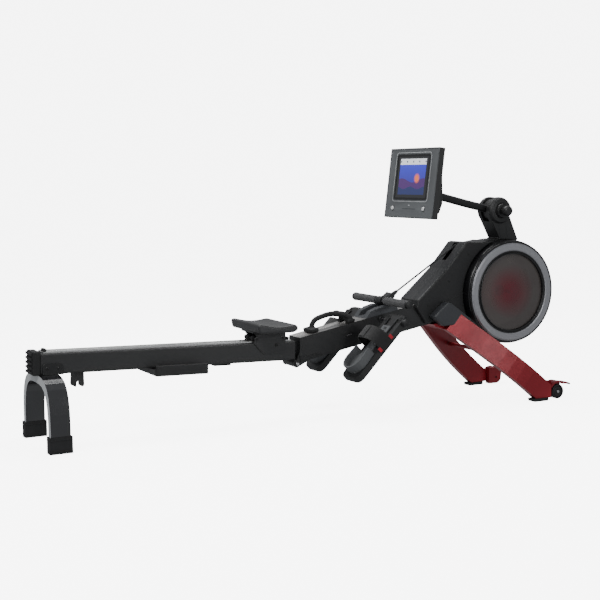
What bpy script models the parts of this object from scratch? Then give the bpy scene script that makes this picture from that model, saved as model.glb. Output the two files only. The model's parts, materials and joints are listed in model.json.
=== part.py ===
"""Magnetic rowing machine with a folding seat rail.

Metres, +Z up. The flywheel end points to +X and the seat rail to -X, and Y = 0 is the plane of
symmetry. The origin is on the floor, midway along the machine. A station is a distance from the
rear end of the machine, and station() turns it into an X coordinate.
"""

import math

import bmesh
import bpy
from mathutils import Matrix, Vector

# Driving dimensions

MACHINE_LENGTH = 2.2275
GAP = 0.0003

RAIL_WIDTH = 0.080
RAIL_HEIGHT = 0.0744
RAIL_WALL = 0.0020
RAIL_TILT = math.radians(1.56)

HINGE_STATION = 1.0295
HINGE_Z = 0.213
HINGE_PIN_RADIUS = 0.0060
HINGE_LOBE_RADIUS = 0.0150

BEAM_WIDTH = 0.092
BEAM_HEIGHT = 0.094
BEAM_LENGTH = 0.640
BEAM_WALL = 0.0025
BEAM_TILT = math.radians(10.5)

REAR_STAND_WIDTH = 0.070
REAR_STAND_HALF_SPAN = 0.170
REAR_STAND_THICKNESS = 0.028
REAR_STAND_TOP = 0.2530
REAR_STAND_STATION = 0.060
REAR_BOOT_HEIGHT = 0.058

SEAT_STATION = 0.912
SEAT_LENGTH = 0.166
SEAT_WIDTH = 0.250
SEAT_THICKNESS = 0.036
SEAT_BOTTOM_Z = 0.3475

DRUM_STATION = 2.012
DRUM_Z = 0.4415
DRUM_RADIUS = 0.2155
DRUM_HALF_DEPTH = 0.0980
RING_OUTER_RADIUS = 0.2040
RING_INNER_RADIUS = 0.1720
WINDOW_RADIUS = 0.1580
FLYWHEEL_RADIUS = 0.145

SHROUD_HALF_WIDTH = 0.066
SHROUD_WALL = 0.0030

LEG_SLOPE = math.radians(40.0)
LEG_WIDTH = 0.088
LEG_THICKNESS = 0.030
CROSSBAR_STATION = 1.879
CROSSBAR_Z = 0.204
CROSSBAR_RADIUS = 0.0085

WHEEL_STATION = 2.151
WHEEL_Z = 0.0305
WHEEL_RADIUS = 0.0300
WHEEL_OUTER_Y = 0.236
WHEEL_WIDTH = 0.024

PEDAL_PIVOT_STATION = 1.412
PEDAL_PIVOT_Z = 0.3620
PEDAL_TILT = math.radians(45.5)
PEDAL_CENTRE_Y = 0.151
PEDAL_WIDTH = 0.118
PEDAL_LENGTH = 0.328
PEDAL_THICKNESS = 0.026
PEDAL_AXLE_RADIUS = 0.0070

HANDLE_STATION = 1.439
HANDLE_Z = 0.4300
HANDLE_HALF_LENGTH = 0.2085
GRIP_RADIUS = 0.0155
HANDLE_BAR_RADIUS = 0.0110

CORD_DIAMETER = 0.0076

ARM_PIVOT_STATION = 1.994
ARM_PIVOT_Z = 0.778
CONSOLE_FACE_STATION = 1.581
CONSOLE_Z = 0.897
CONSOLE_WIDTH = 0.354
CONSOLE_HEIGHT = 0.282
CONSOLE_TILT = math.radians(7.5)
CONSOLE_RIM_DEPTH = 0.025


def station(distance):
    """X of a point this far from the rear end."""
    return distance - MACHINE_LENGTH / 2


HINGE = Vector((station(HINGE_STATION), 0, HINGE_Z))
DRUM = Vector((station(DRUM_STATION), 0, DRUM_Z))
HANDLE = Vector((station(HANDLE_STATION), 0, HANDLE_Z))
ARM_PIVOT = Vector((station(ARM_PIVOT_STATION), 0, ARM_PIVOT_Z))
PEDAL_PIVOT = Vector((station(PEDAL_PIVOT_STATION), 0, PEDAL_PIVOT_Z))
WHEEL = Vector((station(WHEEL_STATION), 0, WHEEL_Z))
CONSOLE = Vector((station(CONSOLE_FACE_STATION), 0, CONSOLE_Z))

for leftover in list(bpy.data.objects):
    bpy.data.objects.remove(leftover, do_unlink=True)

PARTS = bpy.data.collections.new("rowing_machine")
CUTTERS = bpy.data.collections.new("cutters")
for group in (PARTS, CUTTERS):
    bpy.context.scene.collection.children.link(group)
CUTTERS.hide_render = True


# Materials


def principled(name, colour, roughness, metallic=0.0):
    made = bpy.data.materials.new(name)
    made.use_nodes = True
    shader = made.node_tree.nodes["Principled BSDF"]
    shader.inputs["Base Color"].default_value = (*colour, 1)
    shader.inputs["Roughness"].default_value = roughness
    shader.inputs["Metallic"].default_value = metallic
    return made


BLACK_PAINT = principled("black_paint", (0.012, 0.012, 0.013), 0.45)
GLOSS_BLACK = principled("gloss_black", (0.006, 0.006, 0.008), 0.12)
RED_PAINT = principled("red_paint", (0.22, 0.008, 0.016), 0.30)
BLACK_PLASTIC = principled("black_plastic", (0.014, 0.014, 0.015), 0.55)
GREY_PLASTIC = principled("grey_plastic", (0.085, 0.090, 0.095), 0.50)
CONSOLE_GREY = principled("console_grey", (0.165, 0.175, 0.180), 0.42)
RUBBER = principled("rubber", (0.015, 0.015, 0.016), 0.80)
FOAM = principled("grip_foam", (0.075, 0.075, 0.078), 0.85)
WEBBING = principled("webbing", (0.012, 0.012, 0.013), 0.90)
SEAT_VINYL = principled("seat_vinyl", (0.055, 0.056, 0.058), 0.50)
SILVER = principled("silver_trim", (0.50, 0.50, 0.51), 0.30, 0.9)
ALUMINIUM = principled("aluminium", (0.60, 0.60, 0.60), 0.35, 1.0)
STEEL = principled("steel", (0.35, 0.35, 0.36), 0.30, 1.0)
SMOKED = principled("smoked_window", (0.09, 0.06, 0.06), 0.15)
SCREEN = principled("screen", (0.02, 0.02, 0.05), 0.08)
CAST_IRON = principled("cast_iron", (0.16, 0.02, 0.03), 0.45, 0.6)
CORD = principled("cord", (0.012, 0.012, 0.012), 0.85)


# Modelling helpers


def empty(name, location, rotation=(0, 0, 0), parent=None):
    """A helper on a joint's axis, which the pieces of that body hang from."""
    made = bpy.data.objects.new(name, None)
    made.empty_display_size = 0.04
    made.location = location
    made.rotation_euler = rotation
    made.parent = parent
    PARTS.objects.link(made)
    return made


def add(name, mesh, material, location=(0, 0, 0), rotation=(0, 0, 0), parent=None, sharp=30):
    made = bpy.data.objects.new(name, mesh)
    made.location = location
    made.rotation_euler = rotation
    made.parent = parent
    mesh.materials.clear()
    mesh.materials.append(material)
    mesh.shade_smooth()
    mesh.set_sharp_from_angle(angle=math.radians(sharp))
    PARTS.objects.link(made)
    return made


def bevel(made, width, segments=2, angle=40):
    modifier = made.modifiers.new("rounded_edges", "BEVEL")
    modifier.width = width
    modifier.segments = segments
    modifier.limit_method = "ANGLE"
    modifier.angle_limit = math.radians(angle)
    return made


def box_mesh(name, size):
    mesh = bpy.data.meshes.new(name)
    shape = bmesh.new()
    bmesh.ops.create_cube(shape, size=1.0)
    bmesh.ops.scale(shape, vec=size, verts=shape.verts)
    shape.to_mesh(mesh)
    shape.free()
    return mesh


def box(name, size, location, material, rotation=(0, 0, 0), parent=None, rounded=0.0):
    made = add(name, box_mesh(name, size), material, location, rotation, parent)
    return bevel(made, rounded) if rounded else made


def outline_mesh(name, loops, thickness):
    """Flat closed outlines filled and thickened each way along Z, as one welded mesh."""
    curve = bpy.data.curves.new(name, "CURVE")
    curve.dimensions = "2D"
    curve.fill_mode = "BOTH"
    curve.extrude = thickness / 2
    for loop in loops:
        spline = curve.splines.new("POLY")
        spline.points.add(len(loop) - 1)
        for point, (a, b) in zip(spline.points, loop):
            point.co = (a, b, 0, 1)
        spline.use_cyclic_u = True
    holder = bpy.data.objects.new(name, curve)
    bpy.context.scene.collection.objects.link(holder)
    graph = bpy.context.evaluated_depsgraph_get()
    mesh = bpy.data.meshes.new_from_object(holder.evaluated_get(graph))
    bpy.data.objects.remove(holder)
    bpy.data.curves.remove(curve)
    shape = bmesh.new()
    shape.from_mesh(mesh)
    bmesh.ops.remove_doubles(shape, verts=shape.verts, dist=1e-5)
    bmesh.ops.dissolve_limit(shape, angle_limit=0.001, verts=shape.verts, edges=shape.edges)
    bmesh.ops.recalc_face_normals(shape, faces=shape.faces)
    shape.to_mesh(mesh)
    shape.free()
    mesh.name = name
    return mesh


def side_plate(name, loops, y_low, y_high, material, parent=None, offset=(0, 0), rounded=0.0):
    """Outlines given as (x, z), filled between two Y values."""
    mesh = outline_mesh(name, loops, y_high - y_low)
    mesh.transform(Matrix.Rotation(math.pi / 2, 4, "X"))
    mesh.transform(Matrix.Translation((offset[0], (y_low + y_high) / 2, offset[1])))
    made = add(name, mesh, material, parent=parent)
    return bevel(made, rounded) if rounded else made


def turned_mesh(name, profile, closed, steps):
    """A profile of (radius, height) points turned about Z. It runs down the outer side first."""
    mesh = bpy.data.meshes.new(name)
    points = [(radius, 0, height) for radius, height in profile]
    edges = [(n, n + 1) for n in range(len(points) - 1)]
    if closed:
        edges.append((len(points) - 1, 0))
    mesh.from_pydata(points, edges, [])
    holder = bpy.data.objects.new(name, mesh)
    bpy.context.scene.collection.objects.link(holder)
    screw = holder.modifiers.new("turn", "SCREW")
    screw.steps = steps
    screw.render_steps = steps
    screw.use_merge_vertices = True
    screw.merge_threshold = 1e-5
    graph = bpy.context.evaluated_depsgraph_get()
    made = bpy.data.meshes.new_from_object(holder.evaluated_get(graph))
    bpy.data.objects.remove(holder)
    shape = bmesh.new()
    shape.from_mesh(made)
    bmesh.ops.remove_doubles(shape, verts=shape.verts, dist=1e-6)
    bmesh.ops.recalc_face_normals(shape, faces=shape.faces)
    shape.to_mesh(made)
    shape.free()
    made.name = name
    return made


def turned_on_y(name, profile, material, centre, sign=1, closed=False, steps=32, parent=None):
    """A turned piece whose axis is parallel to Y. Its heights run towards sign times Y."""
    mesh = turned_mesh(name, profile, closed, steps)
    mesh.transform(Matrix.Rotation(-sign * math.pi / 2, 4, "X"))
    return add(name, mesh, material, location=centre, parent=parent)


def rod_profile(radius, low, high, chamfer=0.0008):
    return [
        (0, high),
        (radius - chamfer, high),
        (radius, high - chamfer),
        (radius, low + chamfer),
        (radius - chamfer, low),
        (0, low),
    ]


def smooth_path(points, per_span):
    """Points on a Catmull-Rom curve through the given ones."""
    points = [Vector(p) for p in points]
    ends = [points[0] * 2 - points[1]] + points + [points[-1] * 2 - points[-2]]
    path = []
    for n in range(1, len(ends) - 2):
        before, start, end, after = ends[n - 1 : n + 3]
        for k in range(per_span):
            t = k / per_span
            path.append(
                0.5
                * (
                    2 * start
                    + (end - before) * t
                    + (2 * before - 5 * start + 4 * end - after) * t**2
                    + (3 * start - before - 3 * end + after) * t**3
                )
            )
    path.append(points[-1])
    return path


def tube(name, points, radius, material, parent=None, resolution=2):
    curve = bpy.data.curves.new(name, "CURVE")
    curve.dimensions = "3D"
    curve.bevel_depth = radius
    curve.bevel_resolution = resolution
    curve.use_fill_caps = True
    spline = curve.splines.new("POLY")
    spline.points.add(len(points) - 1)
    for point, place in zip(spline.points, points):
        point.co = (*place, 1)
    made = bpy.data.objects.new(name, curve)
    made.parent = parent
    curve.materials.append(material)
    PARTS.objects.link(made)
    return made


def as_mesh(made):
    """Turns a curve object into a welded mesh object, so that it can be cut or joined."""
    graph = bpy.context.evaluated_depsgraph_get()
    mesh = bpy.data.meshes.new_from_object(made.evaluated_get(graph))
    name = made.name
    material = made.data.materials[0]
    place = made.matrix_world.copy()
    parent = made.parent
    bpy.data.objects.remove(made)
    shape = bmesh.new()
    shape.from_mesh(mesh)
    bmesh.ops.remove_doubles(shape, verts=shape.verts, dist=1e-5)
    bmesh.ops.recalc_face_normals(shape, faces=shape.faces)
    shape.to_mesh(mesh)
    shape.free()
    new = add(name, mesh, material, parent=parent)
    new.matrix_world = place
    return new


def boolean(target, other, operation):
    """Cuts or joins with another object, which then becomes a hidden helper."""
    modifier = target.modifiers.new(other.name, "BOOLEAN")
    modifier.object = other
    modifier.operation = operation
    modifier.solver = "EXACT"
    for holder in list(other.users_collection):
        holder.objects.unlink(other)
    CUTTERS.objects.link(other)
    other.hide_render = True
    other.display_type = "WIRE"


def cut(target, *others):
    for other in others:
        boolean(target, other, "DIFFERENCE")
    return target


def join(target, *others):
    for other in others:
        boolean(target, other, "UNION")
    return target


def arc(centre, radius, start, end, steps):
    """Points on a circle, angles in degrees."""
    found = []
    for n in range(steps + 1):
        angle = math.radians(start + (end - start) * n / steps)
        found.append((centre[0] + radius * math.cos(angle), centre[1] + radius * math.sin(angle)))
    return found


def rounded_rectangle(width, height, radius, centre=(0, 0), steps=3):
    points = []
    for corner, start in (((1, 1), 0), ((-1, 1), 90), ((-1, -1), 180), ((1, -1), 270)):
        middle = (
            centre[0] + corner[0] * (width / 2 - radius),
            centre[1] + corner[1] * (height / 2 - radius),
        )
        points += arc(middle, radius, start, start + 90, steps)
    return points


def square_tube(name, width, height, wall, start, end, bottom, material, parent):
    """A hollow section along X, open at both ends, between two X values of its parent."""
    radius = 0.006
    outer = rounded_rectangle(height, width, radius)
    inner = rounded_rectangle(height - 2 * wall, width - 2 * wall, radius - wall)
    mesh = outline_mesh(name, [outer, inner], end - start)
    mesh.transform(Matrix.Rotation(math.pi / 2, 4, "Y"))
    mesh.transform(Matrix.Translation(((start + end) / 2, 0, bottom + height / 2)))
    return add(name, mesh, material, parent=parent)


SIDES = (("left", 1), ("right", -1))

# Joint axes

rail_axis = empty("rail_fold_axis", HINGE, (0, RAIL_TILT, 0))
beam_axis = empty("beam_axis", HINGE, (0, -BEAM_TILT, 0))
seat_axis = empty("seat_slide_axis", (0, 0, 0), parent=rail_axis)

# Heights above the rail hinge, square to the rail
RAIL_BOTTOM = 0.0140
RAIL_TOP = RAIL_BOTTOM + RAIL_HEIGHT
RAIL_FRONT = -0.0100
RAIL_REAR = -(HINGE_STATION - 0.034) / math.cos(RAIL_TILT)


def along_rail(distance):
    """Position along the rail, from the hinge, of a station."""
    return (distance - HINGE_STATION) / math.cos(RAIL_TILT)


# Seat rail and what is fixed to it

square_tube("seat_rail", RAIL_WIDTH, RAIL_HEIGHT, RAIL_WALL, RAIL_REAR, RAIL_FRONT, RAIL_BOTTOM,
            BLACK_PAINT, rail_axis)
TRACK_THICKNESS = 0.0030
box(
    "rail_track",
    (RAIL_FRONT - RAIL_REAR - 0.02, 0.066, TRACK_THICKNESS),
    ((RAIL_FRONT + RAIL_REAR) / 2, 0, RAIL_TOP + GAP + TRACK_THICKNESS / 2),
    ALUMINIUM,
    parent=rail_axis,
)


CAP_BOTTOM = RAIL_BOTTOM - 0.0020


def rail_end_cap():
    """A ridged cap over the rear end, with a plug that reaches into the tube."""
    rear = along_rail(0)
    front = RAIL_REAR - GAP
    height = RAIL_TOP + 0.007 - CAP_BOTTOM
    middle = CAP_BOTTOM + height / 2
    body = box("rail_end_cap", (front - rear - 0.005, RAIL_WIDTH + 0.002, height),
               ((front + rear + 0.005) / 2, 0, middle), RUBBER, parent=rail_axis, rounded=0.004)
    plug = box("cap_plug", (0.030, RAIL_WIDTH - 0.012, RAIL_HEIGHT - 0.012),
               (front + 0.012, 0, RAIL_BOTTOM + RAIL_HEIGHT / 2), RUBBER, parent=rail_axis)
    join(body, plug)
    for n in range(5):
        ridge_z = middle + (n - 2) * height / 5.2
        ridge = box(f"cap_ridge_{n}", (0.012, RAIL_WIDTH - 0.008, 0.008),
                    (rear + 0.006, 0, ridge_z), RUBBER, parent=rail_axis)
        join(body, ridge)
    return body


rail_end_cap()


def arch_outline(half_span, top, thickness, foot):
    """A superellipse arch: upright legs that curve in to a flat crown. Points are (y, z)."""
    outer = []
    inner = []
    power = 3.4
    spring_z = 0.050
    for n in range(25):
        angle = math.pi * n / 24
        c, s = math.cos(angle), math.sin(angle)
        bow = (abs(c) ** power + abs(s) ** power) ** (-1 / power)
        outer.append((half_span * bow * c, spring_z + (top - spring_z) * bow * s))
        inner.append(
            ((half_span - thickness) * bow * c, spring_z + (top - spring_z - thickness) * bow * s)
        )
    return (
        [(half_span, foot)]
        + outer
        + [(-half_span, foot), (-half_span + thickness, foot)]
        + inner[::-1]
        + [(half_span - thickness, foot)]
    )


def yz_plate(name, loops, x_low, x_high, material, parent=None, rounded=0.0):
    """Outlines given as (y, z), filled between two X values."""
    mesh = outline_mesh(name, loops, x_high - x_low)
    turn = Matrix(((0, 0, 1, (x_low + x_high) / 2), (1, 0, 0, 0), (0, 1, 0, 0), (0, 0, 0, 1)))
    mesh.transform(turn)
    made = add(name, mesh, material, parent=parent)
    return bevel(made, rounded) if rounded else made


BOOT_FLOOR = 0.006
stand_x = station(REAR_STAND_STATION)


def hang_from(made, axis):
    """Fixes a piece that is modelled in place to a body's empty."""
    bpy.context.view_layer.update()
    made.parent = axis
    made.matrix_parent_inverse = axis.matrix_world.inverted()
    return made


rear_stand = yz_plate(
    "rear_stand",
    [arch_outline(REAR_STAND_HALF_SPAN, REAR_STAND_TOP, REAR_STAND_THICKNESS, BOOT_FLOOR + GAP)],
    stand_x - REAR_STAND_WIDTH / 2,
    stand_x + REAR_STAND_WIDTH / 2,
    GLOSS_BLACK,
)
hang_from(rear_stand, rail_axis)
# The crown of the arch is cut flat where the rail and its end cap rest on it
SEAT_DEPTH = 0.020
for name, length, start, floor in (
    ("rail_seat", 0.120, RAIL_REAR, RAIL_BOTTOM),
    ("cap_seat", 0.060, RAIL_REAR - 0.059, CAP_BOTTOM),
):
    place = (start + length / 2, 0, floor - GAP + SEAT_DEPTH / 2)
    cut(rear_stand, box(name, (length, 0.120, SEAT_DEPTH), place, GLOSS_BLACK, parent=rail_axis))
for side, sign in SIDES:
    boot_y = sign * (REAR_STAND_HALF_SPAN - REAR_STAND_THICKNESS / 2)
    boot_size = (REAR_STAND_WIDTH + 0.010, REAR_STAND_THICKNESS + 0.010, REAR_BOOT_HEIGHT)
    boot = box(f"rear_boot_{side}", boot_size, (stand_x, boot_y, REAR_BOOT_HEIGHT / 2), RUBBER)
    socket_size = (
        REAR_STAND_WIDTH + 2 * GAP,
        REAR_STAND_THICKNESS + 2 * GAP,
        REAR_BOOT_HEIGHT,
    )
    socket_place = (stand_x, boot_y, BOOT_FLOOR + REAR_BOOT_HEIGHT / 2)
    cut(boot, box(f"boot_socket_{side}", socket_size, socket_place, RUBBER))
    hang_from(boot, rail_axis)


def storage_clip():
    """A snap fork under the rail, which grips the front crossbar when the rail is folded."""
    centre = along_rail(0.1755)
    root = RAIL_BOTTOM - GAP
    half = 0.0175
    bar = CROSSBAR_RADIUS + 0.0012
    grip_z = root - 0.0420
    right = [(half, root), (half + 0.001, root - 0.030), (half + 0.002, grip_z),
             (half, grip_z - 0.008), (half - 0.006, grip_z - 0.010), (bar, grip_z - 0.004)]
    left = [(-a, b) for a, b in right[::-1]]
    mouth = arc((0, grip_z + 0.002), bar, 0, 180, 8)
    loop = right + mouth + left
    mesh_points = [(centre + a, b) for a, b in loop]
    return side_plate("storage_clip", [mesh_points], -0.022, 0.022, BLACK_PLASTIC, rail_axis)


storage_clip()

LIFT_START = along_rail(0.437)
LIFT_END = along_rail(0.640)
LIFT_HALF_SPAN = 0.098


def lift_handle():
    """A flat loop across the underside of the rail, with a finger slot on each side."""
    bottom = RAIL_BOTTOM - 0.0215
    corner = 0.022
    middle = ((LIFT_START + LIFT_END) / 2, 0)
    length = LIFT_END - LIFT_START
    outer = rounded_rectangle(length, 2 * LIFT_HALF_SPAN, corner, middle, 5)
    loops = [outer]
    for sign in (1, -1):
        slot_centre = (middle[0], sign * 0.0635)
        loops.append(rounded_rectangle(length - 0.050, 0.036, 0.014, slot_centre, 4))
    depth = RAIL_BOTTOM - GAP - bottom
    mesh = outline_mesh("lift_handle", loops, depth)
    mesh.transform(Matrix.Translation((0, 0, bottom + depth / 2)))
    made = add("lift_handle", mesh, BLACK_PLASTIC, parent=rail_axis)
    for side, sign in SIDES:
        lip_middle = (middle[0], sign * (LIFT_HALF_SPAN - 0.0078))
        lip_loop = rounded_rectangle(length, 0.0155, 0.007, lip_middle, 3)
        lip = outline_mesh(f"lift_lip_{side}", [lip_loop], 0.037)
        lip.transform(Matrix.Translation((0, 0, bottom + 0.0185)))
        join(made, add(f"lift_lip_{side}", lip, BLACK_PLASTIC, parent=rail_axis))
    return made


lift_handle()


def hinge_knuckle():
    """The rail's half of the fold hinge: a plate over the rail's front end and a bored barrel."""
    lobe = arc((0, 0), HINGE_LOBE_RADIUS - 0.001, -180, 0, 12)
    back, face = -0.0096, -0.0030
    plate = [(0.0130, 0.0080), (face, RAIL_BOTTOM + 0.012), (face, RAIL_TOP - 0.002)]
    plate += [(back, RAIL_TOP - 0.002), (back, RAIL_BOTTOM - 0.0005)]
    plate += [(-HINGE_LOBE_RADIUS + 0.001, 0.004)]
    loop = lobe + plate
    hole = arc((0, 0), HINGE_PIN_RADIUS + GAP, 0, 345, 23)
    return side_plate("hinge_knuckle", [loop, hole], -0.036, 0.036, BLACK_PAINT, rail_axis)


hinge_knuckle()
turned_on_y("hinge_pin", rod_profile(HINGE_PIN_RADIUS, -0.056, 0.056), STEEL, HINGE, steps=24)

# Seat and its carriage

SEAT_BODY_X = along_rail(SEAT_STATION)
ROLLER_RADIUS = 0.0110
ROLLER_Z = RAIL_TOP + GAP + TRACK_THICKNESS + GAP + ROLLER_RADIUS
ROLLER_SPACING = 0.110
SEAT_BOTTOM = SEAT_BOTTOM_Z - HINGE_Z + math.tan(RAIL_TILT) * (SEAT_STATION - HINGE_STATION)


def seat_pad():
    """A saddle: the top dips along the middle and rises at the back."""
    half = SEAT_LENGTH / 2
    loop = [(-half + 0.004, 0), (half - 0.020, 0), (half, 0.010), (half - 0.002, 0.022)]
    crown = []
    for n in range(13):
        t = n / 12
        x = half - 0.012 - (SEAT_LENGTH - 0.020) * t
        dip = 0.0095 * math.sin(math.pi * t) ** 1.2
        crown.append((x, SEAT_THICKNESS * (0.88 + 0.12 * t) - dip))
    loop += crown + [(-half - 0.004, SEAT_THICKNESS - 0.004)]
    return side_plate("seat_pad", [loop], -SEAT_WIDTH / 2, SEAT_WIDTH / 2, SEAT_VINYL, seat_axis,
                      (SEAT_BODY_X, SEAT_BOTTOM), 0.006)


seat_pad()


def seat_carriage():
    """A channel that straddles the rail: a top plate under the seat and a cheek on each side."""
    top = SEAT_BOTTOM - GAP
    cheek_low = RAIL_BOTTOM + 0.030
    plate = box("seat_carriage", (0.145, 0.104, 0.005), (SEAT_BODY_X, 0, top - 0.0025), BLACK_PAINT,
                parent=seat_axis)
    for side, sign in SIDES:
        outline = [(-0.066, top - 0.002), (-0.050, top - 0.026), (-0.068, RAIL_TOP + 0.001),
                   (-0.030, cheek_low + 0.006), (-0.020, cheek_low), (0.060, cheek_low),
                   (0.068, cheek_low + 0.010), (0.068, top - 0.002)]
        low, high = sorted((sign * 0.0415, sign * 0.0445))
        cheek = side_plate(f"carriage_cheek_{side}", [outline], low, high, BLACK_PAINT, seat_axis,
                           (SEAT_BODY_X, 0))
        join(plate, cheek)
        for end in (-1, 1):
            bore = turned_on_y(f"axle_bore_{side}_{end}", rod_profile(0.0044, -0.01, 0.01), STEEL,
                               (SEAT_BODY_X + end * ROLLER_SPACING / 2, sign * 0.043, ROLLER_Z),
                               steps=16, parent=seat_axis)
            cut(plate, bore)
    return plate


seat_carriage()


def roller(name, offset):
    """Two wheels on one axle, turned as one piece."""
    axle = 0.0040
    profile = [(0, 0.0475), (axle, 0.0475), (axle, 0.0300), (ROLLER_RADIUS, 0.0300),
               (ROLLER_RADIUS, 0.0140), (axle, 0.0140), (axle, -0.0140), (ROLLER_RADIUS, -0.0140),
               (ROLLER_RADIUS, -0.0300), (axle, -0.0300), (axle, -0.0475), (0, -0.0475)]
    place = (SEAT_BODY_X + offset, 0, ROLLER_Z)
    return turned_on_y(name, profile, RUBBER, place, steps=20, parent=seat_axis)


roller("seat_roller_rear", -ROLLER_SPACING / 2)
roller("seat_roller_front", ROLLER_SPACING / 2)

# Front beam

BEAM_BOTTOM = 0.0012


def front_beam():
    """A box section that rises to the shroud, with the fixed half of the fold hinge."""
    sine, cosine = math.sin(BEAM_TILT), math.cos(BEAM_TILT)
    low, high = BEAM_BOTTOM, BEAM_BOTTOM + BEAM_HEIGHT
    rear_x = 0.0150
    slant = math.tan(BEAM_TILT)

    def section(inset, front):
        rear = rear_x + inset
        return [(rear + (low + inset) * slant, low + inset), (front, low + inset),
                (front, high - inset), (rear + (high - inset) * slant, high - inset)]

    half = BEAM_WIDTH / 2
    beam = side_plate("front_beam", [section(0, BEAM_LENGTH)], -half, half, BLACK_PAINT, beam_axis)
    hollow = side_plate("beam_hollow", [section(BEAM_WALL, BEAM_LENGTH + 0.02)], BEAM_WALL - half,
                        half - BEAM_WALL, BLACK_PAINT, beam_axis)
    cut(beam, hollow)
    for side, sign in SIDES:
        lobe = arc((0, 0), HINGE_LOBE_RADIUS, 80, 300, 14)
        lobe += [(0.060, low - 0.0005), (0.060, 0.030), (0.024, 0.046)]
        low_y, high_y = sorted((sign * 0.0405, sign * (half - 0.0002)))
        hole = arc((0, 0), HINGE_PIN_RADIUS + GAP, 0, 345, 23)
        cheek = side_plate(f"hinge_cheek_{side}", [lobe, hole], low_y, high_y, BLACK_PAINT, beam_axis)
        join(beam, cheek)
    pivot_dx = PEDAL_PIVOT.x - HINGE.x
    pivot_dz = PEDAL_PIVOT.z - HINGE.z
    bore_at = (pivot_dx * cosine + pivot_dz * sine, 0, pivot_dz * cosine - pivot_dx * sine)
    bore = turned_on_y("pedal_axle_bore", rod_profile(PEDAL_AXLE_RADIUS + GAP, -0.07, 0.07), STEEL,
                       bore_at, steps=20, parent=beam_axis)
    return cut(beam, bore)


front_beam()
BEAM_TOP = BEAM_BOTTOM + BEAM_HEIGHT
GRAB_SPINE_RADIUS = 0.0110
GRAB_LEG_RADIUS = 0.0125


def grab_handle():
    """An arched handle on the beam, with one wide rear foot and two legs at the front."""
    route = [(0.110, 0.004), (0.114, 0.022), (0.130, 0.040)]
    route += [(0.160, 0.0465), (0.200, 0.0475), (0.238, 0.0400)]
    spine = smooth_path([(x, 0, BEAM_TOP + z) for x, z in route], 4)
    made = as_mesh(tube("grab_handle", spine, GRAB_SPINE_RADIUS, RUBBER, beam_axis))
    foot = box("grab_rear_foot", (0.036, 0.070, 0.016), (0.108, 0, BEAM_TOP + GAP + 0.008), RUBBER,
               parent=beam_axis, rounded=0.004)
    join(made, foot)
    for side, sign in SIDES:
        route = [(0.224, 0.003, 0.0440), (0.247, 0.020, 0.0370)]
        route += [(0.266, 0.030, 0.0210), (0.268, 0.031, 0.0060)]
        leg = smooth_path([(x, sign * y, BEAM_TOP + z) for x, y, z in route], 3)
        join(made, as_mesh(tube(f"grab_leg_{side}", leg, GRAB_LEG_RADIUS, RUBBER, beam_axis)))
        place = (0.268, sign * 0.031, BEAM_TOP + GAP + 0.006)
        foot = box(f"grab_front_foot_{side}", (0.034, 0.026, 0.012), place, RUBBER, parent=beam_axis)
        join(made, foot)
    return made


grab_handle()

# Footrests

turned_on_y("pedal_axle", rod_profile(PEDAL_AXLE_RADIUS, -0.221, 0.221), STEEL, PEDAL_PIVOT, steps=20)


HEEL_CUP_X = -0.222
HEEL_CUP_RADIUS = 0.053
HEEL_CUP_WALL = 0.007
HEEL_CUP_HEIGHT = 0.036
SLIDER_LENGTH = 0.235
SLIDER_WIDTH = 0.052
STRAP_HEIGHT = 0.070
STRAP_THICKNESS = 0.0025
STRAP_SPAN = (-0.142, -0.082)


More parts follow.
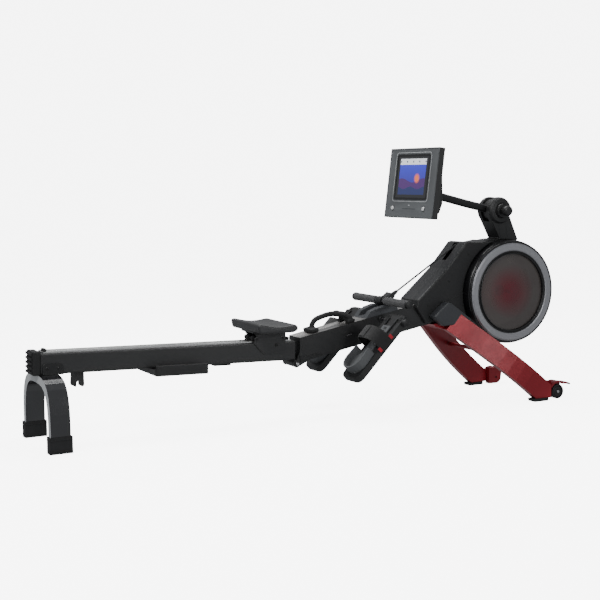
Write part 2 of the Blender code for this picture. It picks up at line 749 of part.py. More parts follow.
def footrest(side, sign):
    """A footplate on the axle, a heel slider on it and a strap over it. Local x points up the plate."""
    axis = empty(f"pedal_axis_{side}", PEDAL_PIVOT, (0, -PEDAL_TILT, 0))
    slide = empty(f"heel_slide_axis_{side}", (0, 0, 0), parent=axis)
    low_y = sign * PEDAL_CENTRE_Y - PEDAL_WIDTH / 2
    high_y = sign * PEDAL_CENTRE_Y + PEDAL_WIDTH / 2
    top = 0.013
    bottom = top - PEDAL_THICKNESS
    toe = 0.030
    heel = toe - PEDAL_LENGTH
    side_view = [(toe, top - 0.006), (toe - 0.010, top)]
    side_view += [(heel + 0.006, top)]
    side_view += arc((heel + 0.012, (top + bottom) / 2), PEDAL_THICKNESS / 2 + 0.001, 130, 265, 5)
    side_view += [(toe - 0.012, bottom), (toe, bottom + 0.008)]
    plate = side_plate(f"footplate_{side}", [side_view], low_y, high_y, BLACK_PLASTIC, axis)
    plan_middle = ((toe + heel) / 2 + 0.001, sign * PEDAL_CENTRE_Y)
    plan_loop = rounded_rectangle(PEDAL_LENGTH + 0.004, PEDAL_WIDTH, 0.034, plan_middle, 5)
    outline = outline_mesh(f"footplate_plan_{side}", [plan_loop], 0.12)
    plan = add(f"footplate_plan_{side}", outline, BLACK_PLASTIC, parent=axis)
    boolean(plate, plan, "INTERSECT")
    cut(plate, turned_on_y(f"footplate_bore_{side}", rod_profile(PEDAL_AXLE_RADIUS + GAP, -0.08, 0.08),
                           STEEL, (0, sign * PEDAL_CENTRE_Y, 0), steps=20, parent=axis))

    base = top + GAP
    slider = box(f"heel_slider_{side}", (SLIDER_LENGTH, SLIDER_WIDTH, 0.007),
                 (-0.1545, sign * PEDAL_CENTRE_Y, base + 0.0035), GREY_PLASTIC, parent=slide)
    mouth = HEEL_CUP_X + 0.054
    cup = arc((HEEL_CUP_X, 0), HEEL_CUP_RADIUS, 75, 285, 12)
    cup += [(mouth, -0.047), (mouth, -0.041)]
    cup += arc((HEEL_CUP_X, 0), HEEL_CUP_RADIUS - HEEL_CUP_WALL, 285, 75, 12)
    cup += [(mouth, 0.041), (mouth, 0.047)]
    wall = outline_mesh(f"heel_cup_{side}", [cup], HEEL_CUP_HEIGHT)
    wall.transform(Matrix.Translation((0, sign * PEDAL_CENTRE_Y, base + HEEL_CUP_HEIGHT / 2)))
    join(slider, add(f"heel_cup_{side}", wall, GREY_PLASTIC, parent=slide))
    floor_loop = arc((HEEL_CUP_X, 0), HEEL_CUP_RADIUS - 0.003, 0, 345, 23)
    floor = outline_mesh(f"heel_floor_{side}", [floor_loop], 0.006)
    floor.transform(Matrix.Translation((0, sign * PEDAL_CENTRE_Y, base + 0.003)))
    join(slider, add(f"heel_floor_{side}", floor, GREY_PLASTIC, parent=slide))

    strap = []
    reach = PEDAL_WIDTH / 2 + 0.0035
    for radius_add in (STRAP_THICKNESS, 0.0):
        row = []
        for n in range(15):
            angle = math.pi * n / 14
            bow = (abs(math.cos(angle)) ** 3 + abs(math.sin(angle)) ** 3) ** (-1 / 3)
            row.append(((reach + radius_add) * bow * math.cos(angle),
                        (STRAP_HEIGHT + radius_add) * bow * math.sin(angle)))
        strap.append(row)
    foot_z = bottom + 0.004
    loop = [(strap[0][0][0], foot_z)] + strap[0]
    loop += [(strap[0][-1][0], foot_z), (strap[1][-1][0], foot_z)]
    loop += strap[1][::-1] + [(strap[1][0][0], foot_z)]
    centred = [(a + sign * PEDAL_CENTRE_Y, b) for a, b in loop]
    yz_plate(f"foot_strap_{side}", [centred], *STRAP_SPAN, WEBBING, axis)


for side, sign in SIDES:
    footrest(side, sign)


def handle_cradle():
    """A saddle on the beam that the handle is parked in, between two cheeks."""
    top = BEAM_TOP + GAP
    sine, cosine = math.sin(BEAM_TILT), math.cos(BEAM_TILT)
    dx, dz = HANDLE.x - HINGE.x, HANDLE.z - HINGE.z
    bar = (dx * cosine + dz * sine, dz * cosine - dx * sine)
    seat = arc(bar, GRIP_RADIUS + 0.0008, -15, -118, 8)
    loop = [(bar[0] - 0.110, top), (bar[0] + 0.040, top), (bar[0] + 0.034, bar[1] + 0.004)]
    loop += [(bar[0] + GRIP_RADIUS + 0.006, bar[1] + 0.006)] + seat
    loop += [(bar[0] - 0.045, bar[1] - 0.014), (bar[0] - 0.085, bar[1] - 0.021)]
    made = side_plate("handle_cradle", [loop], -0.048, 0.048, GREY_PLASTIC, beam_axis)
    channel = box("cradle_channel", (0.30, 0.040, 0.10), (bar[0], 0, top + 0.0045 + 0.05), GREY_PLASTIC,
                  parent=beam_axis)
    return cut(made, channel)


handle_cradle()

# Handle

handle_axis = empty("handle_slide_axis", HANDLE)


def handle():
    """A steel bar with a foam grip at each end and a clamp in the middle that takes the cord."""
    half = HANDLE_HALF_LENGTH
    inner = 0.034
    turned_on_y("handle_bar", rod_profile(HANDLE_BAR_RADIUS, -half + 0.006, half - 0.006), STEEL,
                (0, 0, 0), steps=20, parent=handle_axis)
    for side, sign in SIDES:
        bore = HANDLE_BAR_RADIUS + GAP
        profile = [(0, half), (GRIP_RADIUS - 0.004, half), (GRIP_RADIUS, half - 0.004),
                   (GRIP_RADIUS, inner), (bore, inner), (bore, half - 0.005), (0, half - 0.005)]
        turned_on_y(f"handle_grip_{side}", profile, FOAM, (0, 0, 0), sign, False, 20, handle_axis)
    ring = GRIP_RADIUS + 0.002
    loop = arc((0, 0), ring, 60, 300, 14)
    loop += [(0.020, -0.014), (0.034, -0.002), (0.047, 0.006), (0.054, 0.016), (0.050, 0.026),
             (0.040, 0.030), (0.022, 0.022)]
    hole = arc((0, 0), HANDLE_BAR_RADIUS + GAP, 0, 342, 19)
    return side_plate("handle_clamp", [loop, hole], -0.0165, 0.0165, BLACK_PLASTIC, handle_axis)


handle()
CLAMP_END = HANDLE + Vector((0.0530, 0, 0.0215))

# Shroud, drum and what they hold

CORD_PULLEY = Vector((station(1.8144), 0, 0.6190))
CORD_PULLEY_RADIUS = 0.0215
SPOOL = Vector((station(1.735), 0, 0.4500))
SPOOL_RADIUS = 0.0300
DRIVE_PULLEY_RADIUS = 0.0620
BELT_Y = 0.0420


def dish(name, outline, sign, depth, rounded, material):
    """Half a moulded shell: an outline wall with a rim that reaches back to the middle plane."""
    shape = bmesh.new()
    verts = [shape.verts.new((x, sign * depth, z)) for x, z in outline]
    face = shape.faces.new(verts)
    rim = bmesh.ops.extrude_edge_only(shape, edges=list(face.edges))
    moved = [item for item in rim["geom"] if isinstance(item, bmesh.types.BMVert)]
    for vert in moved:
        vert.co.y = sign * GAP
    bmesh.ops.recalc_face_normals(shape, faces=shape.faces)
    if face.normal.y * sign < 0:
        bmesh.ops.reverse_faces(shape, faces=shape.faces)
    mesh = bpy.data.meshes.new(name)
    shape.to_mesh(mesh)
    shape.free()
    made = add(name, mesh, material)
    bevel(made, rounded, 3, 60)
    solid = made.modifiers.new("wall", "SOLIDIFY")
    solid.thickness = SHROUD_WALL
    solid.offset = -1
    solid.use_even_offset = True
    return made


def shroud_outline():
    """Side view, clockwise from the nose: up the front slope, over the top and down the drum."""
    loop = [(1.571, 0.428), (1.712, 0.549), (1.800, 0.648), (1.806, 0.652), (1.815, 0.6545)]
    loop += [(1.880, 0.6490), (1.930, 0.6560)]
    points = [(station(s), z) for s, z in loop]
    points += arc((DRUM.x, DRUM.z), DRUM_RADIUS + 0.0030, 108, 212, 14)
    points += [(station(1.800), 0.330), (station(1.642), 0.334)]
    points += [(station(1.612), 0.332), (station(1.565), 0.398)]
    return points[::-1]


def belt_passage(name):
    """Where the belt crosses from the shroud into the drum."""
    return box(name, (0.060, 0.108, 0.150), (DRUM.x - DRUM_RADIUS, 0, DRUM.z), BLACK_PLASTIC)


def shroud(side, sign):
    made = dish(f"shroud_{side}", shroud_outline(), sign, SHROUD_HALF_WIDTH, 0.014, BLACK_PLASTIC)
    slot_middle = (station(1.7735), 0, 0.6115)
    slope = math.atan2(0.648 - 0.549, 1.800 - 1.712)
    slot = box(f"cord_slot_{side}", (0.092, 0.026, 0.060), slot_middle, BLACK_PLASTIC, (0, -slope, 0))
    half = BEAM_WIDTH / 2 + GAP
    opening = box(f"beam_opening_{side}", (BEAM_LENGTH + 0.1, 2 * half, BEAM_HEIGHT + 2 * GAP),
                  (BEAM_LENGTH / 2 + 0.05, 0, BEAM_BOTTOM + BEAM_HEIGHT / 2), BLACK_PAINT, parent=beam_axis)
    return cut(made, slot, opening, belt_passage(f"belt_way_{side}"))


for side, sign in SIDES:
    shroud(side, sign)


def drum_cover(side, sign):
    """Half of the round housing: a rim, a rounded shoulder and a face with a window opening."""
    wall = 0.0030
    depth = DRUM_HALF_DEPTH
    shoulder = 0.012
    outer = [(WINDOW_RADIUS, depth), (DRUM_RADIUS - shoulder, depth)]
    outer += [(DRUM_RADIUS - shoulder + shoulder * math.sin(a), depth - shoulder + shoulder * math.cos(a))
              for a in (math.radians(30), math.radians(60), math.radians(90))]
    outer += [(DRUM_RADIUS, GAP), (DRUM_RADIUS - wall, GAP)]
    inner = [(DRUM_RADIUS - wall, depth - shoulder), (DRUM_RADIUS - shoulder, depth - wall),
             (WINDOW_RADIUS, depth - wall)]
    cover = turned_on_y(f"drum_cover_{side}", outer + inner, BLACK_PLASTIC, DRUM, sign, True, 56)
    cut(cover, belt_passage(f"belt_entry_{side}"))
    base = depth + GAP
    ring = [(RING_INNER_RADIUS, base + 0.006), (RING_INNER_RADIUS + 0.004, base + 0.0085),
            (RING_OUTER_RADIUS - 0.006, base + 0.0085), (RING_OUTER_RADIUS, base + 0.004),
            (RING_OUTER_RADIUS - 0.001, base), (RING_INNER_RADIUS, base)]
    turned_on_y(f"ring_trim_{side}", ring, SILVER, DRUM, sign, True, 56)
    edge = WINDOW_RADIUS - 0.0004
    low = depth - wall
    window = [(0, low + 0.006), (edge * 0.6, low + 0.0045), (edge, low + 0.0015), (edge, low - 0.0015),
              (edge * 0.6, low + 0.0015), (0, low + 0.003)]
    turned_on_y(f"drum_window_{side}", window, SMOKED, DRUM, sign, False, 48)


for side, sign in SIDES:
    drum_cover(side, sign)


def flywheel():
    """A heavy disc with a thick rim on its shaft, with the small belt pulley beside it."""
    shaft = 0.0080
    profile = [(0, 0.080), (shaft, 0.080), (shaft, BELT_Y + 0.010), (0.0220, BELT_Y + 0.010),
               (0.0220, BELT_Y - 0.010), (shaft, BELT_Y - 0.010), (shaft, 0.016), (0.030, 0.016),
               (0.034, 0.007), (FLYWHEEL_RADIUS - 0.028, 0.007), (FLYWHEEL_RADIUS - 0.024, 0.014),
               (FLYWHEEL_RADIUS, 0.014), (FLYWHEEL_RADIUS, -0.014), (FLYWHEEL_RADIUS - 0.024, -0.014),
               (FLYWHEEL_RADIUS - 0.028, -0.007), (0.034, -0.007), (0.030, -0.016), (shaft, -0.016),
               (shaft, -0.080), (0, -0.080)]
    return turned_on_y("flywheel", profile, CAST_IRON, DRUM, steps=48)


flywheel()


def drive_spool():
    """The spool that the cord winds on, turned in one with the large belt pulley."""
    shaft = 0.0060
    profile = [(0, 0.058), (shaft, 0.058), (shaft, BELT_Y + 0.010), (DRIVE_PULLEY_RADIUS, BELT_Y + 0.010),
               (DRIVE_PULLEY_RADIUS, BELT_Y - 0.010), (0.020, BELT_Y - 0.010), (0.020, 0.012),
               (SPOOL_RADIUS + 0.010, 0.012), (SPOOL_RADIUS + 0.010, 0.009), (SPOOL_RADIUS, 0.009),
               (SPOOL_RADIUS, -0.009), (SPOOL_RADIUS + 0.010, -0.009), (SPOOL_RADIUS + 0.010, -0.012),
               (shaft, -0.012), (shaft, -0.058), (0, -0.058)]
    return turned_on_y("drive_spool", profile, STEEL, SPOOL, steps=32)


drive_spool()


def cord_pulley():
    """A grooved guide wheel just inside the slot."""
    rim = CORD_PULLEY_RADIUS + 0.005
    groove = CORD_PULLEY_RADIUS
    hub = 0.005
    profile = [(0, 0.040), (hub, 0.040), (hub, 0.0085), (rim, 0.0085), (rim, 0.0065)]
    profile += [(groove, 0.0042), (groove, -0.0042), (rim, -0.0065), (rim, -0.0085)]
    profile += [(hub, -0.0085), (hub, -0.040), (0, -0.040)]
    return turned_on_y("cord_pulley", profile, BLACK_PLASTIC, CORD_PULLEY, steps=28)


cord_pulley()


def drive_belt():
    """A flat belt round the large pulley and the flywheel's small one."""
    big = DRIVE_PULLEY_RADIUS + GAP
    small = 0.0220 + GAP
    span = Vector((DRUM.x - SPOOL.x, DRUM.z - SPOOL.z))
    heading = math.degrees(math.atan2(span.y, span.x))
    open_angle = math.degrees(math.acos((big - small) / span.length))

    def loop(thickness):
        far_side = heading + 360 - open_angle
        found = arc((SPOOL.x, SPOOL.z), big + thickness, heading + open_angle, far_side, 22)
        found += arc((DRUM.x, DRUM.z), small + thickness, heading - open_angle, heading + open_angle, 10)
        return found

    return side_plate("drive_belt", [loop(0.0018), loop(0)], BELT_Y - 0.008, BELT_Y + 0.008, RUBBER)


drive_belt()


def brake_bracket():
    """A curved magnet carrier close to the flywheel's rim. It swings on a pin above the rim."""
    inner = arc((DRUM.x, DRUM.z), FLYWHEEL_RADIUS + 0.006, 30, 100, 12)
    outer = arc((DRUM.x, DRUM.z), FLYWHEEL_RADIUS + 0.024, 100, 30, 12)
    return side_plate("brake_magnet_carrier", [inner + outer], -0.018, 0.018, STEEL)


brake_bracket()

# Stand, wheels and feet

STAND_TOP = Vector((station(1.713), 0, 0.3390))
CROSSBAR = Vector((station(CROSSBAR_STATION), 0, CROSSBAR_Z))
LEG_RUN = 0.520
LEG_BOW_RUN = 0.455


def front_leg(side, sign):
    """A flat bar that leaves the frame beside the beam, bows outwards and slopes to the floor."""
    outer = []
    inner = []
    for n in range(12):
        run = LEG_RUN * n / 11
        bow = math.sin(min(run / LEG_BOW_RUN, 1) * math.pi / 2)
        spread = 0.103 + 0.136 * bow**1.05
        outer.append((run, sign * spread))
        inner.append((run, sign * (spread - LEG_THICKNESS)))
    mesh = outline_mesh(f"front_leg_{side}", [outer + inner[::-1]], LEG_WIDTH)
    leg = add(f"front_leg_{side}", mesh, RED_PAINT, STAND_TOP, (0, LEG_SLOPE, 0))
    floor = box(f"leg_floor_{side}", (0.6, 0.6, 0.20), (WHEEL.x, 0, 0.0125 - 0.10), RED_PAINT)
    front = box(f"leg_front_{side}", (0.20, 0.6, 0.3), (station(2.112) + 0.10, 0, 0.1), RED_PAINT)
    return cut(leg, floor, front)


for side, sign in SIDES:
    front_leg(side, sign)


def stand_bracket():
    """The plate under the beam and shroud that carries both legs."""
    outline = [(1.651, 0.3285), (1.640, 0.3266), (1.652, 0.3180), (1.720, 0.2950)]
    outline += [(1.800, 0.2950), (1.815, 0.3050), (1.790, 0.3285)]
    loop = [(station(s), z) for s, z in outline]
    made = side_plate("stand_bracket", [loop], -0.0720, 0.0720, RED_PAINT)
    strut = as_mesh(tube("stand_strut", [(station(1.745), 0, 0.300),
                         (CROSSBAR.x - 0.006, 0, CROSSBAR.z + 0.0135)], 0.0090, RED_PAINT))
    return join(made, strut)


stand_bracket()
turned_on_y("leg_crossbar", rod_profile(CROSSBAR_RADIUS, -0.1585, 0.1585), RED_PAINT, CROSSBAR, steps=20)


def front_foot(side, sign):
    """A rubber pad under the leg's end."""
    outline = [(2.022, 0.0), (2.090, 0.0), (2.094, 0.0122), (2.018, 0.0122)]
    loop = [(station(s), z) for s, z in outline]
    low, high = sorted((sign * 0.204, sign * 0.246))
    return side_plate(f"front_foot_{side}", [loop], low, high, RUBBER)


def wheel_bracket(side, sign):
    """The lug that holds the wheel's axle, with a hood over the wheel and a tread lip in front."""
    lug_radius = 0.0270
    behind = station(2.1125)
    lug = [(behind, 0.004), (behind, WHEEL.z + 0.046)]
    lug += arc((WHEEL.x, WHEEL.z), 0.040, 95, 40, 5)
    lug += arc((WHEEL.x, WHEEL.z), lug_radius, 0, -90, 5)
    low, high = sorted((sign * 0.186, sign * 0.2110))
    made = side_plate(f"wheel_bracket_{side}", [lug], low, high, RED_PAINT)
    outer = arc((WHEEL.x, WHEEL.z), 0.0445, 150, 62, 8)
    tip = [(2.196, 0.0665), (2.2115, 0.0605), (2.2120, 0.0555), (2.196, 0.0600)]
    tip = [(station(s), z) for s, z in tip]
    inner = arc((WHEEL.x, WHEEL.z), 0.0375, 56, 150, 8)
    low, high = sorted((sign * 0.188, sign * 0.2365))
    hood = side_plate(f"wheel_hood_{side}", [outer + tip + inner], low, high, RED_PAINT)
    bore = turned_on_y(f"wheel_bore_{side}", rod_profile(0.0046, -0.03, 0.03), STEEL,
                       (WHEEL.x, sign * 0.199, WHEEL.z), steps=16)
    return cut(join(made, hood), bore)


def transport_wheel(side, sign):
    """A wheel with a stub axle that turns in the lug."""
    outer_y = WHEEL_OUTER_Y
    inner_y = outer_y - WHEEL_WIDTH
    profile = [(0, outer_y), (0.0060, outer_y), (0.0080, outer_y - 0.004), (0.0220, outer_y - 0.004),
               (0.0235, outer_y), (WHEEL_RADIUS - 0.003, outer_y), (WHEEL_RADIUS, outer_y - 0.003),
               (WHEEL_RADIUS, inner_y + 0.003), (WHEEL_RADIUS - 0.003, inner_y), (0.0043, inner_y),
               (0.0043, 0.1900), (0, 0.1900)]
    return turned_on_y(f"transport_wheel_{side}", profile, RUBBER, WHEEL, sign, False, 32)


for side, sign in SIDES:
    front_foot(side, sign)
    wheel_bracket(side, sign)
    transport_wheel(side, sign)

# Console mast, arm and console

MAST_HALF_WIDTH = 0.040
ARM_KNUCKLE = 0.0190


def console_mast():
    """A post that grows out of the top of the shroud and ends in two round cheeks."""
    radius = 0.0560
    loop = [(station(1.992), 0.6640)]
    loop += arc((ARM_PIVOT.x, ARM_PIVOT.z), radius, 205, -25, 18)
    loop += [(station(2.088), 0.6560)]
    loop += arc((DRUM.x, DRUM.z), DRUM_RADIUS + 0.0010, 72, 102, 6)
    mast = side_plate("console_mast", [loop], -MAST_HALF_WIDTH, MAST_HALF_WIDTH, BLACK_PLASTIC)
    bevel(mast, 0.006)
    slot_half = ARM_KNUCKLE + 0.0006
    slot_profile = rod_profile(radius + 0.004, -slot_half, slot_half)
    slot = turned_on_y("mast_slot", slot_profile, BLACK_PLASTIC, ARM_PIVOT, steps=32)
    bore = turned_on_y("mast_bore", rod_profile(0.0064, -0.08, 0.08), STEEL, ARM_PIVOT, steps=16)
    # The mast's foot stands clear of the shroud's top
    clearance = box("mast_clearance", (0.030, 0.2, 0.06), (station(1.947), 0, 0.640), BLACK_PLASTIC)
    return cut(mast, slot, bore, clearance)


console_mast()
arm_axis = empty("console_arm_axis", ARM_PIVOT)
CONSOLE_JOINT = Vector((station(1.660), 0, 0.8540))
EYE_HALF_WIDTH = 0.0170
EAR_INNER = EYE_HALF_WIDTH + 0.0005
EAR_OUTER = EAR_INNER + 0.0080


def console_arm():
    """A round arm with a flat knuckle in the mast's slot and an eye at the console."""
    end = CONSOLE_JOINT - ARM_PIVOT
    path = [(-0.030, 0, 0.0055), (-0.150, 0, 0.032), (end.x + 0.010, 0, end.z - 0.001)]
    arm = as_mesh(tube("console_arm", smooth_path(path, 3), 0.0165, BLACK_PAINT, arm_axis, 3))
    centre = (0, 0, 0)
    disc = rod_profile(0.0480, -ARM_KNUCKLE, ARM_KNUCKLE, 0.003)
    knuckle = turned_on_y("arm_knuckle", disc, BLACK_PAINT, centre, steps=28, parent=arm_axis)
    barrel = rod_profile(0.0200, -EYE_HALF_WIDTH, EYE_HALF_WIDTH, 0.002)
    eye = turned_on_y("arm_eye", barrel, BLACK_PAINT, end, steps=24, parent=arm_axis)
    wide = rod_profile(0.0064, -0.08, 0.08)
    narrow = rod_profile(0.0050, -0.08, 0.08)
    bore = turned_on_y("arm_bore", wide, STEEL, centre, steps=16, parent=arm_axis)
    eye_bore = turned_on_y("eye_bore", narrow, STEEL, end, steps=16, parent=arm_axis)
    return cut(join(arm, knuckle, eye), bore, eye_bore)


console_arm()


def arm_knob():
    """A clamp bolt through the mast with a round knob on its right end."""
    face = MAST_HALF_WIDTH + 0.0006
    profile = [(0, 0.104), (0.0150, 0.104), (0.0200, 0.099), (0.0215, 0.092), (0.0205, 0.080),
               (0.0140, 0.074), (0.0140, 0.064), (0.0270, 0.062), (0.0300, 0.052), (0.0300, face),
               (0.0060, face), (0.0060, -0.058), (0, -0.058)]
    return turned_on_y("arm_knob", profile, BLACK_PLASTIC, ARM_PIVOT, -1, False, 24)


arm_knob()


tilt_axis = empty("console_body_axis", CONSOLE, (0, CONSOLE_TILT, 0))
SCREEN_CENTRE_Z = 0.024
SCREEN_SIZE = (0.222, 0.166)
BUTTON_PLACES = (("left", 0.120, -0.1025), ("right", -0.106, -0.1025))


def console_case():
    """A flat tablet with a raised back that carries the tilt hinge. Local -x faces the rower."""
    half_width = CONSOLE_WIDTH / 2
    half_height = CONSOLE_HEIGHT / 2
    case = box("console_case", (CONSOLE_RIM_DEPTH, CONSOLE_WIDTH, CONSOLE_HEIGHT),
               (CONSOLE_RIM_DEPTH / 2, 0, 0), CONSOLE_GREY, parent=tilt_axis)
    inside = CONSOLE_RIM_DEPTH - 0.004
    back_view = [(inside, -half_height + 0.004), (CONSOLE_RIM_DEPTH + 0.026, -half_height + 0.030)]
    back_view += [(0.060, -0.075), (0.060, -0.060), (0.046, 0.030), (0.042, half_height - 0.030)]
    back_view += [(inside, half_height - 0.004)]
    back = side_plate("console_back", [back_view], -half_width + 0.030, half_width - 0.030, BLACK_PLASTIC,
                      tilt_axis)
    join(case, back)
    pocket = box("screen_pocket", (0.012, SCREEN_SIZE[0] + 2 * GAP, SCREEN_SIZE[1] + 2 * GAP),
                 (0.0, 0, SCREEN_CENTRE_Z), SCREEN, parent=tilt_axis)
    hollow = box("console_hollow", (0.017, CONSOLE_WIDTH - 0.012, CONSOLE_HEIGHT - 0.012), (0.0155, 0, 0),
                 BLACK_PLASTIC, parent=tilt_axis)
    port_place = (0.040, 0.060, -0.070)
    port = box("console_port", (0.040, 0.030, 0.012), port_place, BLACK_PLASTIC, parent=tilt_axis)
    cut(case, pocket, hollow, port)
    for side, y, z in BUTTON_PLACES:
        well = turned_mesh(f"button_well_{side}", rod_profile(0.0088, -0.012, 0.012), False, 20)
        well.transform(Matrix.Rotation(math.pi / 2, 4, "Y"))
        cut(case, add(f"button_well_{side}", well, BLACK_PLASTIC, (0, y, z), parent=tilt_axis))
    bpy.context.view_layer.update()
    joint = tilt_axis.matrix_world.inverted() @ CONSOLE_JOINT
    for side, sign in SIDES:
        loop = arc((joint.x, joint.z), 0.0165, -90, 90, 10)
        loop += [(0.040, joint.z + 0.0165), (0.040, joint.z - 0.0165)]
        low, high = sorted((sign * EAR_INNER, sign * EAR_OUTER))
        join(case, side_plate(f"console_ear_{side}", [loop], low, high, BLACK_PLASTIC, tilt_axis))
    place = (joint.x, 0, joint.z)
    space = rod_profile(0.0225, -EAR_INNER, EAR_INNER)
    swing = turned_on_y("console_swing", space, BLACK_PLASTIC, place, steps=28, parent=tilt_axis)
    shank = rod_profile(0.0046, -EAR_OUTER, EAR_OUTER)
    pin = turned_on_y("console_pin", shank, STEEL, place, steps=16, parent=tilt_axis)
    cut(case, swing)
    return join(case, pin)


console_case()
box("console_screen", (0.0050, *SCREEN_SIZE), (0.0028, 0, SCREEN_CENTRE_Z), SCREEN, parent=tilt_axis)
for side, y, z in BUTTON_PLACES:
    profile = [(0, 0.0030), (0.0065, 0.0030), (0.0082, 0.0012), (0.0082, -0.0045), (0, -0.0045)]
    mesh = turned_mesh(f"console_button_{side}", profile, False, 20)
    mesh.transform(Matrix.Rotation(-math.pi / 2, 4, "Y"))
    add(f"console_button_{side}", mesh, ALUMINIUM, (-0.0002, y, z), parent=tilt_axis)

# The drive cord runs straight from the handle's clamp to the guide pulley and down to the spool

CORD_WRAP = 110


def tangent_point(centre, radius, source, side):
    """Where a line from a point touches a circle in the XZ plane, on one side."""
    away = Vector((source.x - centre.x, source.z - centre.z))
    turn = side * math.acos(radius / away.length)
    away.normalize()
    turned = Vector((away.x * math.cos(turn) - away.y * math.sin(turn),
                     away.x * math.sin(turn) + away.y * math.cos(turn)))
    return Vector((centre.x + radius * turned.x, 0, centre.z + radius * turned.y))


def drive_cord():
    radius = CORD_DIAMETER / 2
    reach = CORD_PULLEY_RADIUS + radius + GAP
    touch = tangent_point(CORD_PULLEY, reach, CLAMP_END, -1)
    start = CLAMP_END + (touch - CLAMP_END).normalized() * 0.002
    path = [start.lerp(touch, n / 20) for n in range(21)]
    first = math.degrees(math.atan2(touch.z - CORD_PULLEY.z, touch.x - CORD_PULLEY.x))
    wrap = arc((CORD_PULLEY.x, CORD_PULLEY.z), reach, first, first - CORD_WRAP, 8)
    path += [Vector((x, 0, z)) for x, z in wrap[1:]]
    tube("drive_cord", path, radius, CORD)


drive_cord()
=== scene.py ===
"""The looks of a folding rowing machine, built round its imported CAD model."""

import json
import math

import bmesh
import bpy
from mathutils import Matrix, Vector


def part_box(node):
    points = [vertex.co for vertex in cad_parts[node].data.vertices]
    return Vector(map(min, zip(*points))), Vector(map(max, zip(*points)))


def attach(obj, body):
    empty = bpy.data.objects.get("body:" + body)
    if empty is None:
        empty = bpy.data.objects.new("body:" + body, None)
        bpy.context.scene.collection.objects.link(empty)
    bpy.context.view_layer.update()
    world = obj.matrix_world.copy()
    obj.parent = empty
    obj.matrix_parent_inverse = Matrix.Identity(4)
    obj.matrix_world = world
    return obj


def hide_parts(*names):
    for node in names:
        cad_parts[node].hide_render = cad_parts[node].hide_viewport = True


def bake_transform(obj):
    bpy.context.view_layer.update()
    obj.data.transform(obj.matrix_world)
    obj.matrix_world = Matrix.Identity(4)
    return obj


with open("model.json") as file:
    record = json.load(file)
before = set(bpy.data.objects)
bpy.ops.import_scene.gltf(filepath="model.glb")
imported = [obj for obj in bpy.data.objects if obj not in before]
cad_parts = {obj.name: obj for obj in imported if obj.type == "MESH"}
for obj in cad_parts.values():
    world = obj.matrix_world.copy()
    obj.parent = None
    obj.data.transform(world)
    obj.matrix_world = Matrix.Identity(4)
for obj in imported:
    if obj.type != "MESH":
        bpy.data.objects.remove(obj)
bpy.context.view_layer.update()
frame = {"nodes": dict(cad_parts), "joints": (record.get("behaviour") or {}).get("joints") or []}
NODES = frame["nodes"]
JOINTS = {joint["name"]: joint for joint in frame["joints"]}
SIDES = (("left", 1), ("right", -1))

# Places, taken from the frame's joints and boxes

HINGE = Vector(JOINTS["rail_fold"]["pos_m"])
DRUM = Vector(JOINTS["flywheel_spin"]["pos_m"])
PEDAL = {side: Vector(JOINTS[f"footrest_tilt_{side}"]["pos_m"]) for side, _ in SIDES}
ARM = Vector(JOINTS["arm_swing"]["pos_m"])
WHEEL = {side: Vector(JOINTS[f"transport_wheel_{side}_spin"]["pos_m"]) for side, _ in SIDES}
SLIDE = Vector(JOINTS["seat_slide"]["axis"])
PLATE = Vector(JOINTS["heel_slide_left"]["axis"])
BEAM_TILT = math.radians(10.5)


def turned_frame(origin, forward):
    """A frame at a point whose local x runs along forward, and whose local y is the world's."""
    angle = math.atan2(-forward.z, forward.x)
    return Matrix.Translation(origin) @ Matrix.Rotation(angle, 4, "Y")


RAIL_FRAME = turned_frame(HINGE, SLIDE)
BEAM_FRAME = Matrix.Translation(HINGE) @ Matrix.Rotation(-BEAM_TILT, 4, "Y")


def corners(node):
    low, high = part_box(node)
    return low, high, (low + high) / 2


def handle_centre():
    return corners("handle_bar")[2]


# Node material helpers


